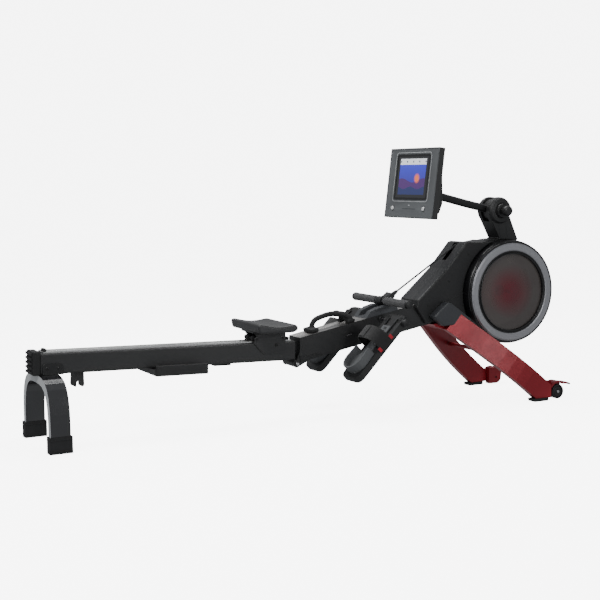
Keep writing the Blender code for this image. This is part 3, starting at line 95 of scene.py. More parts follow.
class Shader:
    """A Principled material and the nodes that feed it, all in object coordinates in metres."""

    def __init__(self, name, roughness=0.5, metallic=0.0, **levels):
        self.material = bpy.data.materials.new(name)
        self.material.use_nodes = True
        self.tree = self.material.node_tree
        self.main = self.tree.nodes["Principled BSDF"]
        self.main.inputs["Roughness"].default_value = roughness
        self.main.inputs["Metallic"].default_value = metallic
        for key, value in levels.items():
            self.main.inputs[key.replace("_", " ")].default_value = value
        self.place = self.tree.nodes.new("ShaderNodeTexCoord")
        self.bumped = None

    def node(self, kind, **inputs):
        made = self.tree.nodes.new(kind)
        for key, value in inputs.items():
            socket = made.inputs[key.replace("_", " ")]
            if isinstance(value, bpy.types.NodeSocket):
                self.tree.links.new(value, socket)
            else:
                socket.default_value = value
        return made

    def link(self, output, socket):
        self.tree.links.new(output, socket)

    def stretched(self, scale, output="Object"):
        mapping = self.node("ShaderNodeMapping", Scale=scale)
        self.link(self.place.outputs[output], mapping.inputs["Vector"])
        return mapping.outputs["Vector"]

    def noise(self, scale, detail=3.0, stretch=(1, 1, 1)):
        made = self.node("ShaderNodeTexNoise", Scale=scale, Detail=detail)
        self.link(self.stretched(stretch), made.inputs["Vector"])
        return made.outputs["Fac"]

    def cells(self, scale, feature="F1", stretch=(1, 1, 1)):
        made = self.node("ShaderNodeTexVoronoi", Scale=scale)
        made.feature = feature
        self.link(self.stretched(stretch), made.inputs["Vector"])
        return made.outputs["Distance"]

    def ramp(self, factor, low, high, start=0.0, end=1.0):
        made = self.tree.nodes.new("ShaderNodeValToRGB")
        self.link(factor, made.inputs["Fac"])
        made.color_ramp.elements[0].position = start
        made.color_ramp.elements[1].position = end
        made.color_ramp.elements[0].color = (*low, 1)
        made.color_ramp.elements[1].color = (*high, 1)
        return made.outputs["Color"]

    def mixed(self, factor, first, second):
        made = self.tree.nodes.new("ShaderNodeMix")
        made.data_type = "RGBA"
        sockets = [s for s in made.inputs if s.type == "RGBA"]
        for value, socket in (
            (factor, made.inputs["Factor"]), (first, sockets[0]), (second, sockets[1])
        ):
            if isinstance(value, bpy.types.NodeSocket):
                self.link(value, socket)
            elif isinstance(value, tuple):
                socket.default_value = (*value, 1)
            else:
                socket.default_value = value
        return next(s for s in made.outputs if s.type == "RGBA")

    def math(self, operation, first, second=0.0):
        made = self.tree.nodes.new("ShaderNodeMath")
        made.operation = operation
        for value, socket in ((first, made.inputs[0]), (second, made.inputs[1])):
            if isinstance(value, bpy.types.NodeSocket):
                self.link(value, socket)
            else:
                socket.default_value = value
        return made.outputs[0]

    def span(self, value, low, high, to_low, to_high):
        made = self.tree.nodes.new("ShaderNodeMapRange")
        self.link(value, made.inputs["Value"])
        for key, number in zip(
            ("From Min", "From Max", "To Min", "To Max"), (low, high, to_low, to_high)
        ):
            made.inputs[key].default_value = number
        return made.outputs["Result"]

    def colour(self, output):
        self.link(output, self.main.inputs["Base Color"])
        return self

    def rough(self, output):
        self.link(output, self.main.inputs["Roughness"])
        return self

    def bump(self, height, strength, distance):
        made = self.node("ShaderNodeBump", Strength=strength, Distance=distance, Height=height)
        if self.bumped is not None:
            self.link(self.bumped, made.inputs["Normal"])
        self.bumped = made.outputs["Normal"]
        self.link(self.bumped, self.main.inputs["Normal"])
        return self

    def paler_on_edges(self, base, edge, start=0.54, end=0.66):
        """Base colour that goes paler along sharp convex edges."""
        shape = self.tree.nodes.new("ShaderNodeNewGeometry")
        factor = self.span(shape.outputs["Pointiness"], start, end, 0.0, 1.0)
        return self.mixed(factor, base, edge)


def moulded(name, colour, roughness, grain=0.00006, grain_scale=900, **levels):
    """Injection-moulded plastic with a fine spark-eroded grain and a slightly uneven sheen."""
    made = Shader(name, roughness, **levels)
    darker = tuple(0.86 * c for c in colour)
    lighter = tuple(1.14 * c for c in colour)
    base = made.ramp(made.noise(7.0, 4.0), darker, lighter, 0.35, 0.65)
    made.colour(made.paler_on_edges(base, tuple(min(1, 1.5 * c + 0.01) for c in colour)))
    made.rough(made.span(made.noise(24.0), 0.3, 0.7, roughness - 0.05, roughness + 0.06))
    made.bump(made.noise(grain_scale, 2.0), 0.5, grain)
    return made.material


def coated(name, colour, roughness, orange_peel=0.00004, **levels):
    """Sprayed or powder-coated metal: an even colour with a faint orange-peel ripple."""
    made = Shader(name, roughness, **levels)
    base = made.ramp(
        made.noise(3.5, 5.0), tuple(0.9 * c for c in colour), tuple(1.1 * c for c in colour), 0.3, 0.7
    )
    made.colour(made.paler_on_edges(base, tuple(min(1, 1.6 * c + 0.02) for c in colour)))
    made.rough(made.span(made.noise(60.0), 0.3, 0.7, roughness - 0.04, roughness + 0.05))
    made.bump(made.noise(420.0, 1.5), 0.4, orange_peel)
    return made.material


def metallic_red():
    made = Shader("metallic_red_paint", 0.42, 0.45, Coat_Weight=0.25, Coat_Roughness=0.22)
    flakes = made.cells(1400.0)
    base = made.ramp(flakes, (0.235, 0.0022, 0.0095), (0.145, 0.0012, 0.0055), 0.1, 0.8)
    made.colour(made.paler_on_edges(base, (0.33, 0.012, 0.022)))
    made.rough(made.span(made.noise(30.0), 0.3, 0.7, 0.38, 0.48))
    made.bump(made.noise(300.0, 1.5), 0.3, 0.00003)
    return made.material


def brushed(name, colour, roughness, stretch, **levels):
    """Metal brushed along one direction, which is the axis that stretch makes coarse."""
    made = Shader(name, roughness, 1.0, **levels)
    lines = made.noise(260.0, 3.0, stretch)
    made.colour(made.ramp(lines, tuple(0.88 * c for c in colour), colour, 0.25, 0.75))
    made.rough(made.span(lines, 0.3, 0.7, roughness - 0.08, roughness + 0.10))
    made.bump(lines, 0.25, 0.00004)
    return made.material


def rubbery(name, colour, roughness, pores=700, depth=0.00012, **levels):
    made = Shader(name, roughness, **levels)
    base = made.ramp(
        made.noise(9.0, 5.0), tuple(0.8 * c for c in colour), tuple(1.25 * c for c in colour), 0.35,
        0.65,
    )
    made.colour(base)
    made.rough(made.span(made.noise(40.0), 0.3, 0.7, roughness - 0.06, roughness + 0.06))
    made.bump(made.cells(pores), 0.5, depth)
    return made.material


def foam():
    """Closed-cell grip foam: small open pores in a matt, slightly dusty surface, and painted shade that
    darkens the pits of the pores.
    """
    made = Shader("grip_foam_cells", 0.88, Sheen_Weight=0.25, Sheen_Roughness=0.5)
    pores = made.cells(900.0)
    # painted shade: the colour is darkest at the cell centres, the pits that the bump makes
    pore_shade = made.ramp(pores, (0.018, 0.018, 0.019), (0.058, 0.058, 0.060), 0.05, 0.45)
    dust = made.span(made.noise(14.0), 0.3, 0.7, 0.0, 0.35)
    made.colour(made.mixed(dust, pore_shade, (0.050, 0.050, 0.052)))
    made.bump(pores, 0.7, 0.00035)
    return made.material


def leatherette():
    """The seat's integral-skin foam, with a pebbled grain and a satin skin."""
    made = Shader("seat_skin", 0.46, Coat_Weight=0.12, Coat_Roughness=0.35)
    grain = made.cells(420.0, "SMOOTH_F1")
    base = made.ramp(made.noise(11.0, 5.0), (0.018, 0.018, 0.019), (0.032, 0.032, 0.034), 0.3, 0.7)
    made.colour(made.mixed(made.span(grain, 0.0, 0.6, 0.0, 0.30), base, (0.009, 0.009, 0.010)))
    made.rough(made.span(grain, 0.1, 0.6, 0.42, 0.56))
    made.bump(grain, 0.45, 0.0003)
    return made.material


def webbing(name, colour):
    """A woven strap, its weave darker in the low parts as painted shade. U runs along it and V across
    it, both in metres.
    """
    made = Shader(name, 0.82, Sheen_Weight=0.35, Sheen_Roughness=0.4)
    mapping = made.node("ShaderNodeMapping", Scale=(1, 1, 1))
    made.link(made.place.outputs["UV"], mapping.inputs["Vector"])
    split = made.node("ShaderNodeSeparateXYZ", Vector=mapping.outputs["Vector"])
    along = made.math("SINE", made.math("MULTIPLY", split.outputs["X"], 2 * math.pi / 0.0022))
    across = made.math("SINE", made.math("MULTIPLY", split.outputs["Y"], 2 * math.pi / 0.0018))
    weave = made.math("MULTIPLY", along, across)
    height = made.span(weave, -1.0, 1.0, 0.0, 1.0)
    # painted shade: the weave's low parts get a darker copy of the strap's colour
    low = tuple(0.45 * c for c in colour)
    made.colour(made.ramp(height, low, colour, 0.15, 0.85))
    made.bump(height, 0.6, 0.0004)
    made.bump(made.noise(1200.0, 2.0), 0.3, 0.00008)
    return made.material


def braid():
    """The cord's braided jacket, darker in the strands' low parts as painted shade. U runs along the
    cord and V round it.
    """
    made = Shader("braided_jacket", 0.80, Sheen_Weight=0.04, Sheen_Roughness=0.5)
    split = made.node("ShaderNodeSeparateXYZ", Vector=made.place.outputs["UV"])
    turns = made.math("MULTIPLY", split.outputs["Y"], 2 * math.pi * 4)
    pitch = made.math("MULTIPLY", split.outputs["X"], 2 * math.pi / 0.006)
    one = made.math("SINE", made.math("ADD", turns, pitch))
    other = made.math("SINE", made.math("SUBTRACT", turns, pitch))
    height = made.span(made.math("MAXIMUM", one, other), -1.0, 1.0, 0.0, 1.0)
    # painted shade: the braid's low parts are darker than its raised strands
    made.colour(made.ramp(height, (0.004, 0.004, 0.004), (0.022, 0.022, 0.023), 0.2, 0.9))
    made.bump(height, 0.6, 0.0004)
    return made.material


def from_axis(made, centre):
    """Distance of a point from the line through a centre, parallel to Y."""
    split = made.node("ShaderNodeSeparateXYZ", Vector=made.place.outputs["Object"])
    dx = made.math("SUBTRACT", split.outputs["X"], centre.x)
    dz = made.math("SUBTRACT", split.outputs["Z"], centre.z)
    return made.math(
        "SQRT", made.math("ADD", made.math("MULTIPLY", dx, dx), made.math("MULTIPLY", dz, dz))
    )


def smoked():
    """Smoked clear plastic, which lets a little light through, with a painted red glow in its middle
    that fades to grey towards the rim.
    """
    made = Shader("smoked_plastic", 0.30, Alpha=0.80, Coat_Weight=0.3, Coat_Roughness=0.08)
    # painted glow: red in the middle of the window's colour, greyer towards the rim
    glow = made.span(from_axis(made, DRUM), 0.020, 0.120, 0.0, 1.0)
    base = made.ramp(glow, (0.105, 0.008, 0.016), (0.075, 0.066, 0.062), 0.15, 0.95)
    stain = made.span(made.noise(9.0, 3.0), 0.3, 0.7, 0.0, 0.25)
    made.colour(made.mixed(stain, base, (0.05, 0.03, 0.03)))
    made.rough(made.span(made.noise(12.0, 3.0), 0.3, 0.7, 0.26, 0.34))
    return made.material


def disc_red():
    """The flywheel's face, with a painted glow: red in the middle and greyer towards the rim, and lit
    by an emission of that colour though the flywheel is no lamp.
    """
    made = Shader("flywheel_face_painted_glow", 0.50)
    radius = from_axis(made, DRUM)
    glow = made.span(radius, 0.035, 0.125, 0.0, 1.0)
    base = made.ramp(glow, (0.30, 0.006, 0.020), (0.12, 0.10, 0.095), 0.20, 0.85)
    hub = made.span(radius, 0.016, 0.022, 1.0, 0.0)
    base = made.mixed(hub, base, (0.012, 0.012, 0.014))
    stain = made.span(made.noise(18.0, 3.0), 0.3, 0.7, 0.0, 0.12)
    made.colour(made.mixed(stain, base, (0.06, 0.02, 0.022)))
    # painted glow: the face emits its own colour, though it is no lamp
    made.link(base, made.main.inputs["Emission Color"])
    made.main.inputs["Emission Strength"].default_value = 0.9
    return made.material


def display():
    """The lit picture: a pale strip with round marks over a generic blue landscape of soft waves."""
    made = Shader("display_picture", 0.12, Coat_Weight=0.6, Coat_Roughness=0.03)
    split = made.node("ShaderNodeSeparateXYZ", Vector=made.place.outputs["Generated"])
    across = made.math("SUBTRACT", 1.0, split.outputs["Y"])
    up = split.outputs["Z"]

    def between(value, low, high):
        above = made.math("GREATER_THAN", value, low)
        return made.math("MULTIPLY", above, made.math("LESS_THAN", value, high))

    sky = made.ramp(made.span(up, 0.1, 0.8, 0.0, 1.0), (0.035, 0.02, 0.16), (0.03, 0.035, 0.55))
    swell = made.math("SINE", made.math("MULTIPLY", across, 9.0))
    far_hill = made.math("ADD", 0.42, made.math("MULTIPLY", swell, 0.05))
    picture = made.mixed(made.math("LESS_THAN", up, far_hill), sky, (0.06, 0.015, 0.12))
    ripple = made.math("SINE", made.math("ADD", made.math("MULTIPLY", across, 14.0), 1.2))
    shore = made.math("ADD", 0.24, made.math("MULTIPLY", ripple, 0.03))
    picture = made.mixed(made.math("LESS_THAN", up, shore), picture, (0.012, 0.02, 0.10))
    dx = made.math("SUBTRACT", across, 0.66)
    dz = made.math("MULTIPLY", made.math("SUBTRACT", up, 0.47), 0.75)
    away = made.math(
        "SQRT", made.math("ADD", made.math("MULTIPLY", dx, dx), made.math("MULTIPLY", dz, dz))
    )
    sun = made.span(away, 0.045, 0.10, 1.0, 0.0)
    picture = made.mixed(sun, picture, (0.85, 0.16, 0.05))
    strip = between(up, 0.80, 0.945)
    picture = made.mixed(strip, picture, (0.80, 0.82, 0.86))
    mark = made.math(
        "ABSOLUTE", made.math("SUBTRACT", made.math("FRACT", made.math("MULTIPLY", across, 5.0)), 0.5)
    )
    height = made.math("ABSOLUTE", made.math("SUBTRACT", up, 0.875))
    dot = made.math(
        "MULTIPLY", made.math("LESS_THAN", mark, 0.10), made.math("LESS_THAN", height, 0.022)
    )
    picture = made.mixed(made.math("MULTIPLY", strip, dot), picture, (0.12, 0.14, 0.18))
    inside = made.math("MULTIPLY", between(across, 0.075, 0.925), between(up, 0.075, 0.945))
    picture = made.mixed(inside, (0.006, 0.006, 0.008), picture)
    made.colour(picture)
    made.link(picture, made.main.inputs["Emission Color"])
    made.main.inputs["Emission Strength"].default_value = 0.55
    made.bump(made.noise(200.0, 1.0), 0.05, 0.00001)
    return made.material


BLACK_STEEL = coated("black_powder_coat", (0.0045, 0.0045, 0.0050), 0.40)
GLOSS_BLACK = coated(
    "gloss_black_enamel", (0.0030, 0.0030, 0.0045), 0.16, Coat_Weight=1.0, Coat_Roughness=0.04
)
RED = metallic_red()
BLACK = moulded("black_moulding", (0.0055, 0.0055, 0.0060), 0.48)
SATIN_BLACK = moulded("satin_black_moulding", (0.0045, 0.0045, 0.0055), 0.30)
DARK_GREY = moulded("dark_grey_moulding", (0.030, 0.032, 0.036), 0.46)
MID_GREY = moulded("mid_grey_moulding", (0.085, 0.090, 0.094), 0.44)
# painted light: a lighter copy of the black moulding, for the shroud's faces that slope up towards the
# rear
PAINTED_LIGHT_SLOPE_GREY = moulded("slope_painted_light_grey", (0.012, 0.012, 0.013), 0.40)
PALE_GREY = moulded("pale_grey_moulding", (0.42, 0.43, 0.44), 0.42)
WHITE = moulded("white_moulding", (0.80, 0.81, 0.80), 0.35)
RUBBER = rubbery("black_rubber", (0.0060, 0.0060, 0.0065), 0.72)
FOAM = foam()
SKIN = leatherette()
STRAP = webbing("black_webbing", (0.0080, 0.0080, 0.0085))
RED_TAB = webbing("red_webbing", (0.55, 0.012, 0.03))
BRAID = braid()
RAIL_METAL = brushed("rail_aluminium", (0.62, 0.62, 0.61), 0.34, (0.02, 1, 1), Anisotropic=0.6)
BEAM_METAL = brushed("beam_top_metal", (0.42, 0.41, 0.40), 0.42, (0.02, 1, 1), Anisotropic=0.5)
STEEL = brushed("plated_steel", (0.50, 0.50, 0.51), 0.30, (1, 0.05, 1))
RING_SILVER = brushed("silver_ring", (0.40, 0.40, 0.42), 0.40, (1, 0.1, 1))
SMOKED = smoked()
FLYWHEEL = disc_red()
DISPLAY = display()

# Mesh helpers


def finish_mesh(name, shape, material, body, smooth=30):
    mesh = bpy.data.meshes.new(name)
    bmesh.ops.recalc_face_normals(shape, faces=shape.faces)
    shape.to_mesh(mesh)
    shape.free()
    mesh.materials.append(material)
    mesh.shade_smooth()
    mesh.set_sharp_from_angle(angle=math.radians(smooth))
    piece = bpy.data.objects.new(name, mesh)
    bpy.context.scene.collection.objects.link(piece)
    if body:
        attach(piece, body)
    return piece


def rounded(piece, width, segments=3, angle=35):
    modifier = piece.modifiers.new("rounded", "BEVEL")
    modifier.width = width
    modifier.segments = segments
    modifier.limit_method = "ANGLE"
    modifier.angle_limit = math.radians(angle)
    modifier.harden_normals = False
    return piece


def arc(centre, radius, start, end, steps):
    found = []
    for n in range(steps + 1):
        angle = math.radians(start + (end - start) * n / steps)
        found.append((centre[0] + radius * math.cos(angle), centre[1] + radius * math.sin(angle)))
    return found


def round_rectangle(width, height, radius, steps=5, centre=(0, 0)):
    points = []
    for (sx, sy), start in (((1, 1), 0), ((-1, 1), 90), ((-1, -1), 180), ((1, -1), 270)):
        middle = (centre[0] + sx * (width / 2 - radius), centre[1] + sy * (height / 2 - radius))
        points += arc(middle, radius, start, start + 90, steps)
    return points


def prism(outline, low, high, place=Matrix(), inner=()):
    """A bmesh of a flat XZ outline drawn out between two Y values, with optional holes."""
    shape = bmesh.new()
    edges = []
    for loop in (outline, *inner):
        ring = [shape.verts.new((a, low, b)) for a, b in loop]
        edges += [shape.edges.new((ring[n - 1], ring[n])) for n in range(len(ring))]
    bmesh.ops.triangle_fill(shape, edges=edges, use_beauty=True)
    bmesh.ops.dissolve_limit(shape, angle_limit=0.01, verts=shape.verts, edges=shape.edges)
    made = bmesh.ops.extrude_face_region(shape, geom=list(shape.faces))
    for item in made["geom"]:
        if isinstance(item, bmesh.types.BMVert):
            item.co.y = high
    bmesh.ops.transform(shape, matrix=place, verts=shape.verts)
    return shape


def lathe(profile, centre, axis="Y", sign=1, steps=48):
    """A bmesh of a closed or axis-touching profile of (radius, height) points turned about an axis."""
    shape = bmesh.new()
    rings = []
    for radius, height in profile:
        if radius < 1e-6:
            rings.append([shape.verts.new((0, 0, height))])
            continue
        rings.append([shape.verts.new((x, y, height)) for x, y in circle(radius, steps)])
    for first, second in zip(rings, rings[1:]):
        for n in range(steps):
            m = (n + 1) % steps
            corner = [
                first[n % len(first)], first[m % len(first)], second[m % len(second)],
                second[n % len(second)],
            ]
            corner = list(dict.fromkeys(corner))
            if len(corner) > 2:
                shape.faces.new(corner)
    turned = {
        "Y": Matrix.Rotation(-sign * math.pi / 2, 4, "X"), "Z": Matrix(),
        "X": Matrix.Rotation(sign * math.pi / 2, 4, "Y"),
    }
    bmesh.ops.transform(shape, matrix=Matrix.Translation(centre) @ turned[axis], verts=shape.verts)
    return shape


def ring_profile(inner, outer, low, high, crown):
    """A ring's section: flat below, with a rounded top of that height."""
    middle, half = (inner + outer) / 2, (outer - inner) / 2
    turns = [math.radians(30 * n) for n in range(7)]
    top = [(middle + half * math.cos(turn), high + crown * math.sin(turn)) for turn in turns]
    return [(outer, low), *top, (inner, low), (outer, low)]


def reach(sign, near, far):
    """The Y values of a piece's two ends on one side of the machine, the lower one first."""
    return sorted((sign * near, sign * far))


def rectangle(left, right, low, high):
    return [(left, low), (right, low), (right, high), (left, high)]


def lathed(name, profile, centre, sign, steps, material, body):
    """A piece turned about a line along Y."""
    return finish_mesh(name, lathe(profile, centre, "Y", sign, steps), material, body)


def swept(path, section):
    """A bmesh that carries a section of (side, up) points along a path, with flat ends."""
    shape = bmesh.new()
    rings = []
    for n, point in enumerate(path):
        ahead = path[min(n + 1, len(path) - 1)] - path[max(n - 1, 0)]
        ahead.normalize()
        side = Vector((0, 1, 0)) if abs(ahead.y) < 0.95 else Vector((1, 0, 0))
        side = (side - ahead * side.dot(ahead)).normalized()
        up = side.cross(ahead)
        rings.append([shape.verts.new(point + side * a + up * b) for a, b in section])
    for first, second in zip(rings, rings[1:]):
        for n in range(len(section)):
            m = (n + 1) % len(section)
            shape.faces.new((first[n], first[m], second[m], second[n]))
    shape.faces.new(rings[0][::-1])
    shape.faces.new(rings[-1])
    return shape


def circle(radius, steps=12):
    turns = [2 * math.pi * n / steps for n in range(steps)]
    return [(radius * math.cos(turn), radius * math.sin(turn)) for turn in turns]


def bolt(name, centre, axis, sign, radius, body, material=None):
    """A button-head screw with a socket, standing on a surface and facing along an axis."""
    high = 0.45 * radius
    profile = [
        (0, high * 0.35), (radius * 0.42, high * 0.35), (radius * 0.46, high),
        (radius * 0.7, high * 0.96),
    ]
    profile += [(radius * 0.92, high * 0.6), (radius, high * 0.15), (radius, 0), (0, 0)]
    shape = lathe(profile, centre, axis, sign, 24)
    return finish_mesh(name, shape, material or STEEL, body)


def skin_copy(name, node, voxel, material, body, relax=6):
    """A CAD node's form with its joins blended, by a voxel remesh and a few smoothing steps."""
    mesh = NODES[node].data.copy()
    mesh.name = name
    mesh.materials.clear()
    mesh.materials.append(material)
    piece = bpy.data.objects.new(name, mesh)
    bpy.context.scene.collection.objects.link(piece)
    remesh = piece.modifiers.new("remesh", "REMESH")
    remesh.mode = "VOXEL"
    remesh.voxel_size = voxel
    remesh.use_smooth_shade = True
    smooth = piece.modifiers.new("relax", "SMOOTH")
    smooth.factor = 0.5
    smooth.iterations = relax
    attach(piece, body)
    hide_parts(node)
    return piece


def paint(node, material, edge=0.0, segments=2, angle=40):
    """Gives a CAD node its finish, and softens its sharp edges."""
    target = NODES[node]
    target.data.materials.clear()
    target.data.materials.append(material)
    if edge:
        rounded(target, edge, segments, angle)
    return target


def paint_faces(node, material, chosen):
    """A second finish for the faces that a test of (centre, normal) picks."""
    mesh = NODES[node].data
    mesh.materials.append(material)
    index = len(mesh.materials) - 1
    for face in mesh.polygons:
        if chosen(face.center, face.normal):
            face.material_index = index


# Camera, floor and light

FOCAL_LENGTH = 72.552
CAMERA_PLACE = (-2.21225, -4.1112, 0.9380)
CAMERA_HEADING, CAMERA_DIP, CAMERA_ROLL = -27.81, 5.96, -0.54
COVE_FLOOR, COVE_BEND, COVE_HEIGHT = 16.0, 4.0, 14.0


def add_camera():
    data = bpy.data.cameras.new("camera")
    data.lens = FOCAL_LENGTH
    data.sensor_width = 36
    camera = bpy.data.objects.new("camera", data)
    bpy.context.scene.collection.objects.link(camera)
    heading = Matrix.Rotation(math.radians(CAMERA_HEADING), 4, "Z")
    dip = Matrix.Rotation(math.radians(90 - CAMERA_DIP), 4, "X")
    roll = Matrix.Rotation(math.radians(CAMERA_ROLL), 4, "Z")
    camera.matrix_world = Matrix.Translation(CAMERA_PLACE) @ heading @ dip @ roll
    bpy.context.scene.camera = camera


def area_light(name, place, target, size, power, colour=(1, 1, 1)):
    data = bpy.data.lights.new(name, "AREA")
    data.shape = "RECTANGLE"
    data.size, data.size_y = size
    data.energy = power
    data.color = colour
    light = bpy.data.objects.new(name, data)
    bpy.context.scene.collection.objects.link(light)
    aim = (Vector(target) - Vector(place)).to_track_quat("-Z", "Y")
    light.matrix_world = Matrix.Translation(place) @ aim.to_matrix().to_4x4()


def add_studio():
    """A white cove that only the camera sees, and the softboxes that light the machine."""
    world = bpy.data.worlds.new("studio")
    bpy.context.scene.world = world
    world.use_nodes = True
    background = world.node_tree.nodes["Background"]
    background.inputs["Color"].default_value = (0.94, 0.97, 1.0, 1)
    background.inputs["Strength"].default_value = 0.42
    area_light("key", (-2.4, -1.9, 2.9), (0.0, 0, 0.3), (1.6, 1.2), 75)
    area_light("top", (0.4, 0.9, 3.2), (0.2, 0, 0.3), (3.0, 0.9), 85)
    area_light("front", (1.0, -3.6, 1.3), (0.6, 0, 0.45), (0.8, 1.8), 26)
    profile = [(0.0, 0.0), (COVE_FLOOR, 0.0)]
    for turn in (math.radians(10 * n) for n in range(1, 10)):
        out, up = COVE_BEND * math.sin(turn), COVE_BEND - COVE_BEND * math.cos(turn)
        profile.append((COVE_FLOOR + out, up))
    profile.append((COVE_FLOOR + COVE_BEND, COVE_HEIGHT))
    cove = finish_mesh("cove", lathe(profile, Vector((0, 0, 0)), "Z", 1, 64), studio_paper(), None)
    cove.visible_diffuse = False
    cove.visible_glossy = False


def studio_paper():
    paper = Shader("studio_paper", 0.95)
    tone = paper.ramp(paper.noise(0.8, 2.0), (0.90, 0.90, 0.90), (0.92, 0.92, 0.92))
    paper.colour(tone)
    paper.link(tone, paper.main.inputs["Emission Color"])
    paper.main.inputs["Emission Strength"].default_value = 7.0
    return paper.material


add_camera()
add_studio()

# Drive cord

CORD_DIAMETER = 0.0076
GUIDE = Vector(JOINTS["guide_pulley_spin"]["pos_m"])
GUIDE_REACH = 0.0215 + CORD_DIAMETER / 2 + 0.0003
CLAMP_EYE = Vector((0.0530, 0, 0.0215))


def cord_route():
    """From the handle's clamp in one straight run to the guide pulley, and over it."""
    source = handle_centre() + CLAMP_EYE
    away = Vector((source.x - GUIDE.x, source.z - GUIDE.z))
    turn = -math.acos(GUIDE_REACH / away.length) + math.atan2(away.y, away.x)
    touch = GUIDE + Vector((GUIDE_REACH * math.cos(turn), 0, GUIDE_REACH * math.sin(turn)))
    start = source + (touch - source).normalized() * 0.002
    path = [start.lerp(touch, n / 20) for n in range(21)]
    for n in range(1, 9):
        angle = turn - math.radians(110) * n / 8
        path.append(GUIDE + Vector((GUIDE_REACH * math.cos(angle), 0, GUIDE_REACH * math.sin(angle))))
    return path


def drive_cord():
    """The braided cord, which stretches between the guide pulley and the handle."""
    path = cord_route()
    section = circle(CORD_DIAMETER / 2, 10)
    shape = swept(path, section)
    layer = shape.loops.layers.uv.new("along")
    shape.verts.ensure_lookup_table()
    reached = [0.0]
    for a, b in zip(path, path[1:]):
        reached.append(reached[-1] + (b - a).length)
    shape.verts.index_update()
    for face in shape.faces:
        for loop in face.loops:
            ring, around = divmod(loop.vert.index, len(section))
            loop[layer].uv = (reached[ring], around / len(section))
    cord = finish_mesh("drive_cord_braided", shape, BRAID, None, 60)
    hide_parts("drive_cord")
    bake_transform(cord)


drive_cord()

# Finishes of the CAD nodes

paint("seat_rail", BLACK_STEEL, 0.0008)
paint("rail_track", RAIL_METAL, 0.0006)
paint("rail_end_cap", RUBBER, 0.0012)
paint("rear_stand", GLOSS_BLACK, 0.0015)
for side, sign in SIDES:
    paint(f"rear_boot_{side}", RUBBER, 0.0025, 3)
paint("storage_clip", BLACK, 0.0008)
paint("lift_handle", BLACK, 0.0015, 3)
paint("hinge_knuckle", BLACK_STEEL, 0.0008)
paint("hinge_pin", STEEL, 0.0005)
paint("seat_carriage", BLACK_STEEL, 0.0006)
paint("seat_roller_rear", RUBBER, 0.0006)
paint("seat_roller_front", RUBBER, 0.0006)
paint("front_beam", BLACK_STEEL, 0.0012)
paint("pedal_axle", STEEL, 0.0005)
paint("handle_cradle", DARK_GREY, 0.0020, 3)
paint("handle_bar", STEEL)
paint("handle_clamp", BLACK, 0.0012, 3)
paint("cord_pulley", BLACK, 0.0004)
paint("drive_spool", STEEL)
paint("drive_belt", RUBBER)
paint("brake_magnet_carrier", STEEL, 0.0008)
paint("flywheel", FLYWHEEL, 0.0006)
paint("stand_bracket", RED, 0.0015)
paint("leg_crossbar", RED, 0.0008)
paint("console_mast", BLACK)
paint("console_arm", BLACK_STEEL, 0.0006)
paint("arm_knob", BLACK, 0.0012, 3)
paint("console_case", BLACK, 0.0025, 3, 60)
paint("console_screen", DISPLAY, 0.0006)
for side, sign in SIDES:
    paint(f"footplate_{side}", BLACK, 0.0025, 3)
    paint(f"handle_grip_{side}", FOAM, 0.0015, 3)
    paint(f"shroud_{side}", BLACK)
    paint(f"drum_cover_{side}", SATIN_BLACK)
    paint(f"ring_trim_{side}", RING_SILVER)
    paint(f"drum_window_{side}", SMOKED)
    paint(f"front_leg_{side}", RED, 0.0035, 3)
    paint(f"front_foot_{side}", RUBBER, 0.0010)
    paint(f"wheel_bracket_{side}", RED, 0.0010)
    paint(f"transport_wheel_{side}", RUBBER, 0.0010)
    paint(f"console_button_{side}", WHITE, 0.0004)

paint_faces("front_beam", BEAM_METAL, lambda centre, normal: normal.z > 0.95)
# painted reflection: the gloss black rear stand's rear-facing faces are pale grey
paint_faces("rear_stand", PALE_GREY, lambda centre, normal: normal.x < -0.95)
# painted light: the shroud's faces that slope up towards the rear get a lighter grey
for side, sign in SIDES:
    paint_faces(f"shroud_{side}", PAINTED_LIGHT_SLOPE_GREY, lambda centre, normal: normal.x < -0.4 and normal.z > 0.4)
paint_faces("console_case", MID_GREY, lambda centre, normal: normal.x < -0.9)

skin_copy("grab_handle_moulded", "grab_handle", 0.0028, RUBBER, "frame")


# Seat rail and rear stand details


def in_rail(shape):
    bmesh.ops.transform(shape, matrix=RAIL_FRAME, verts=shape.verts)
    return shape


def in_beam(shape):
    bmesh.ops.transform(shape, matrix=BEAM_FRAME, verts=shape.verts)
    return shape


def block(size, centre):
    shape = bmesh.new()
    bmesh.ops.create_cube(shape, size=1.0)
    bmesh.ops.scale(shape, vec=size, verts=shape.verts)
    bmesh.ops.translate(shape, vec=centre, verts=shape.verts)
    return shape


RAIL_LOW, RAIL_HIGH, RAIL_HALF = 0.0140, 0.0884, 0.040
RAIL_REAR = -0.9955


def stand_saddle():
    """A folded steel saddle round the bottom of the rail, which the rear arch is bolted to."""
    for side, sign in SIDES:
        outline = [(0.004, RAIL_LOW - 0.001), (0.080, RAIL_LOW - 0.001), (0.078, 0.047), (0.070, 0.053)]
        outline += [(0.012, 0.053), (0.004, 0.047)]
        loop = [(RAIL_REAR + a, b) for a, b in outline]
        shape = in_rail(prism(loop, *reach(sign, RAIL_HALF + 0.0003, RAIL_HALF + 0.0030)))
        rounded(finish_mesh(f"saddle_cheek_{side}", shape, BLACK_STEEL, "rail"), 0.0008)
        for n, along in enumerate((0.020, 0.062)):
            place = RAIL_FRAME @ Vector((RAIL_REAR + along, sign * (RAIL_HALF + 0.0030), 0.036))
            bolt(f"saddle_bolt_{side}_{n}", place, "Y", sign, 0.0055, "rail", BLACK_STEEL)


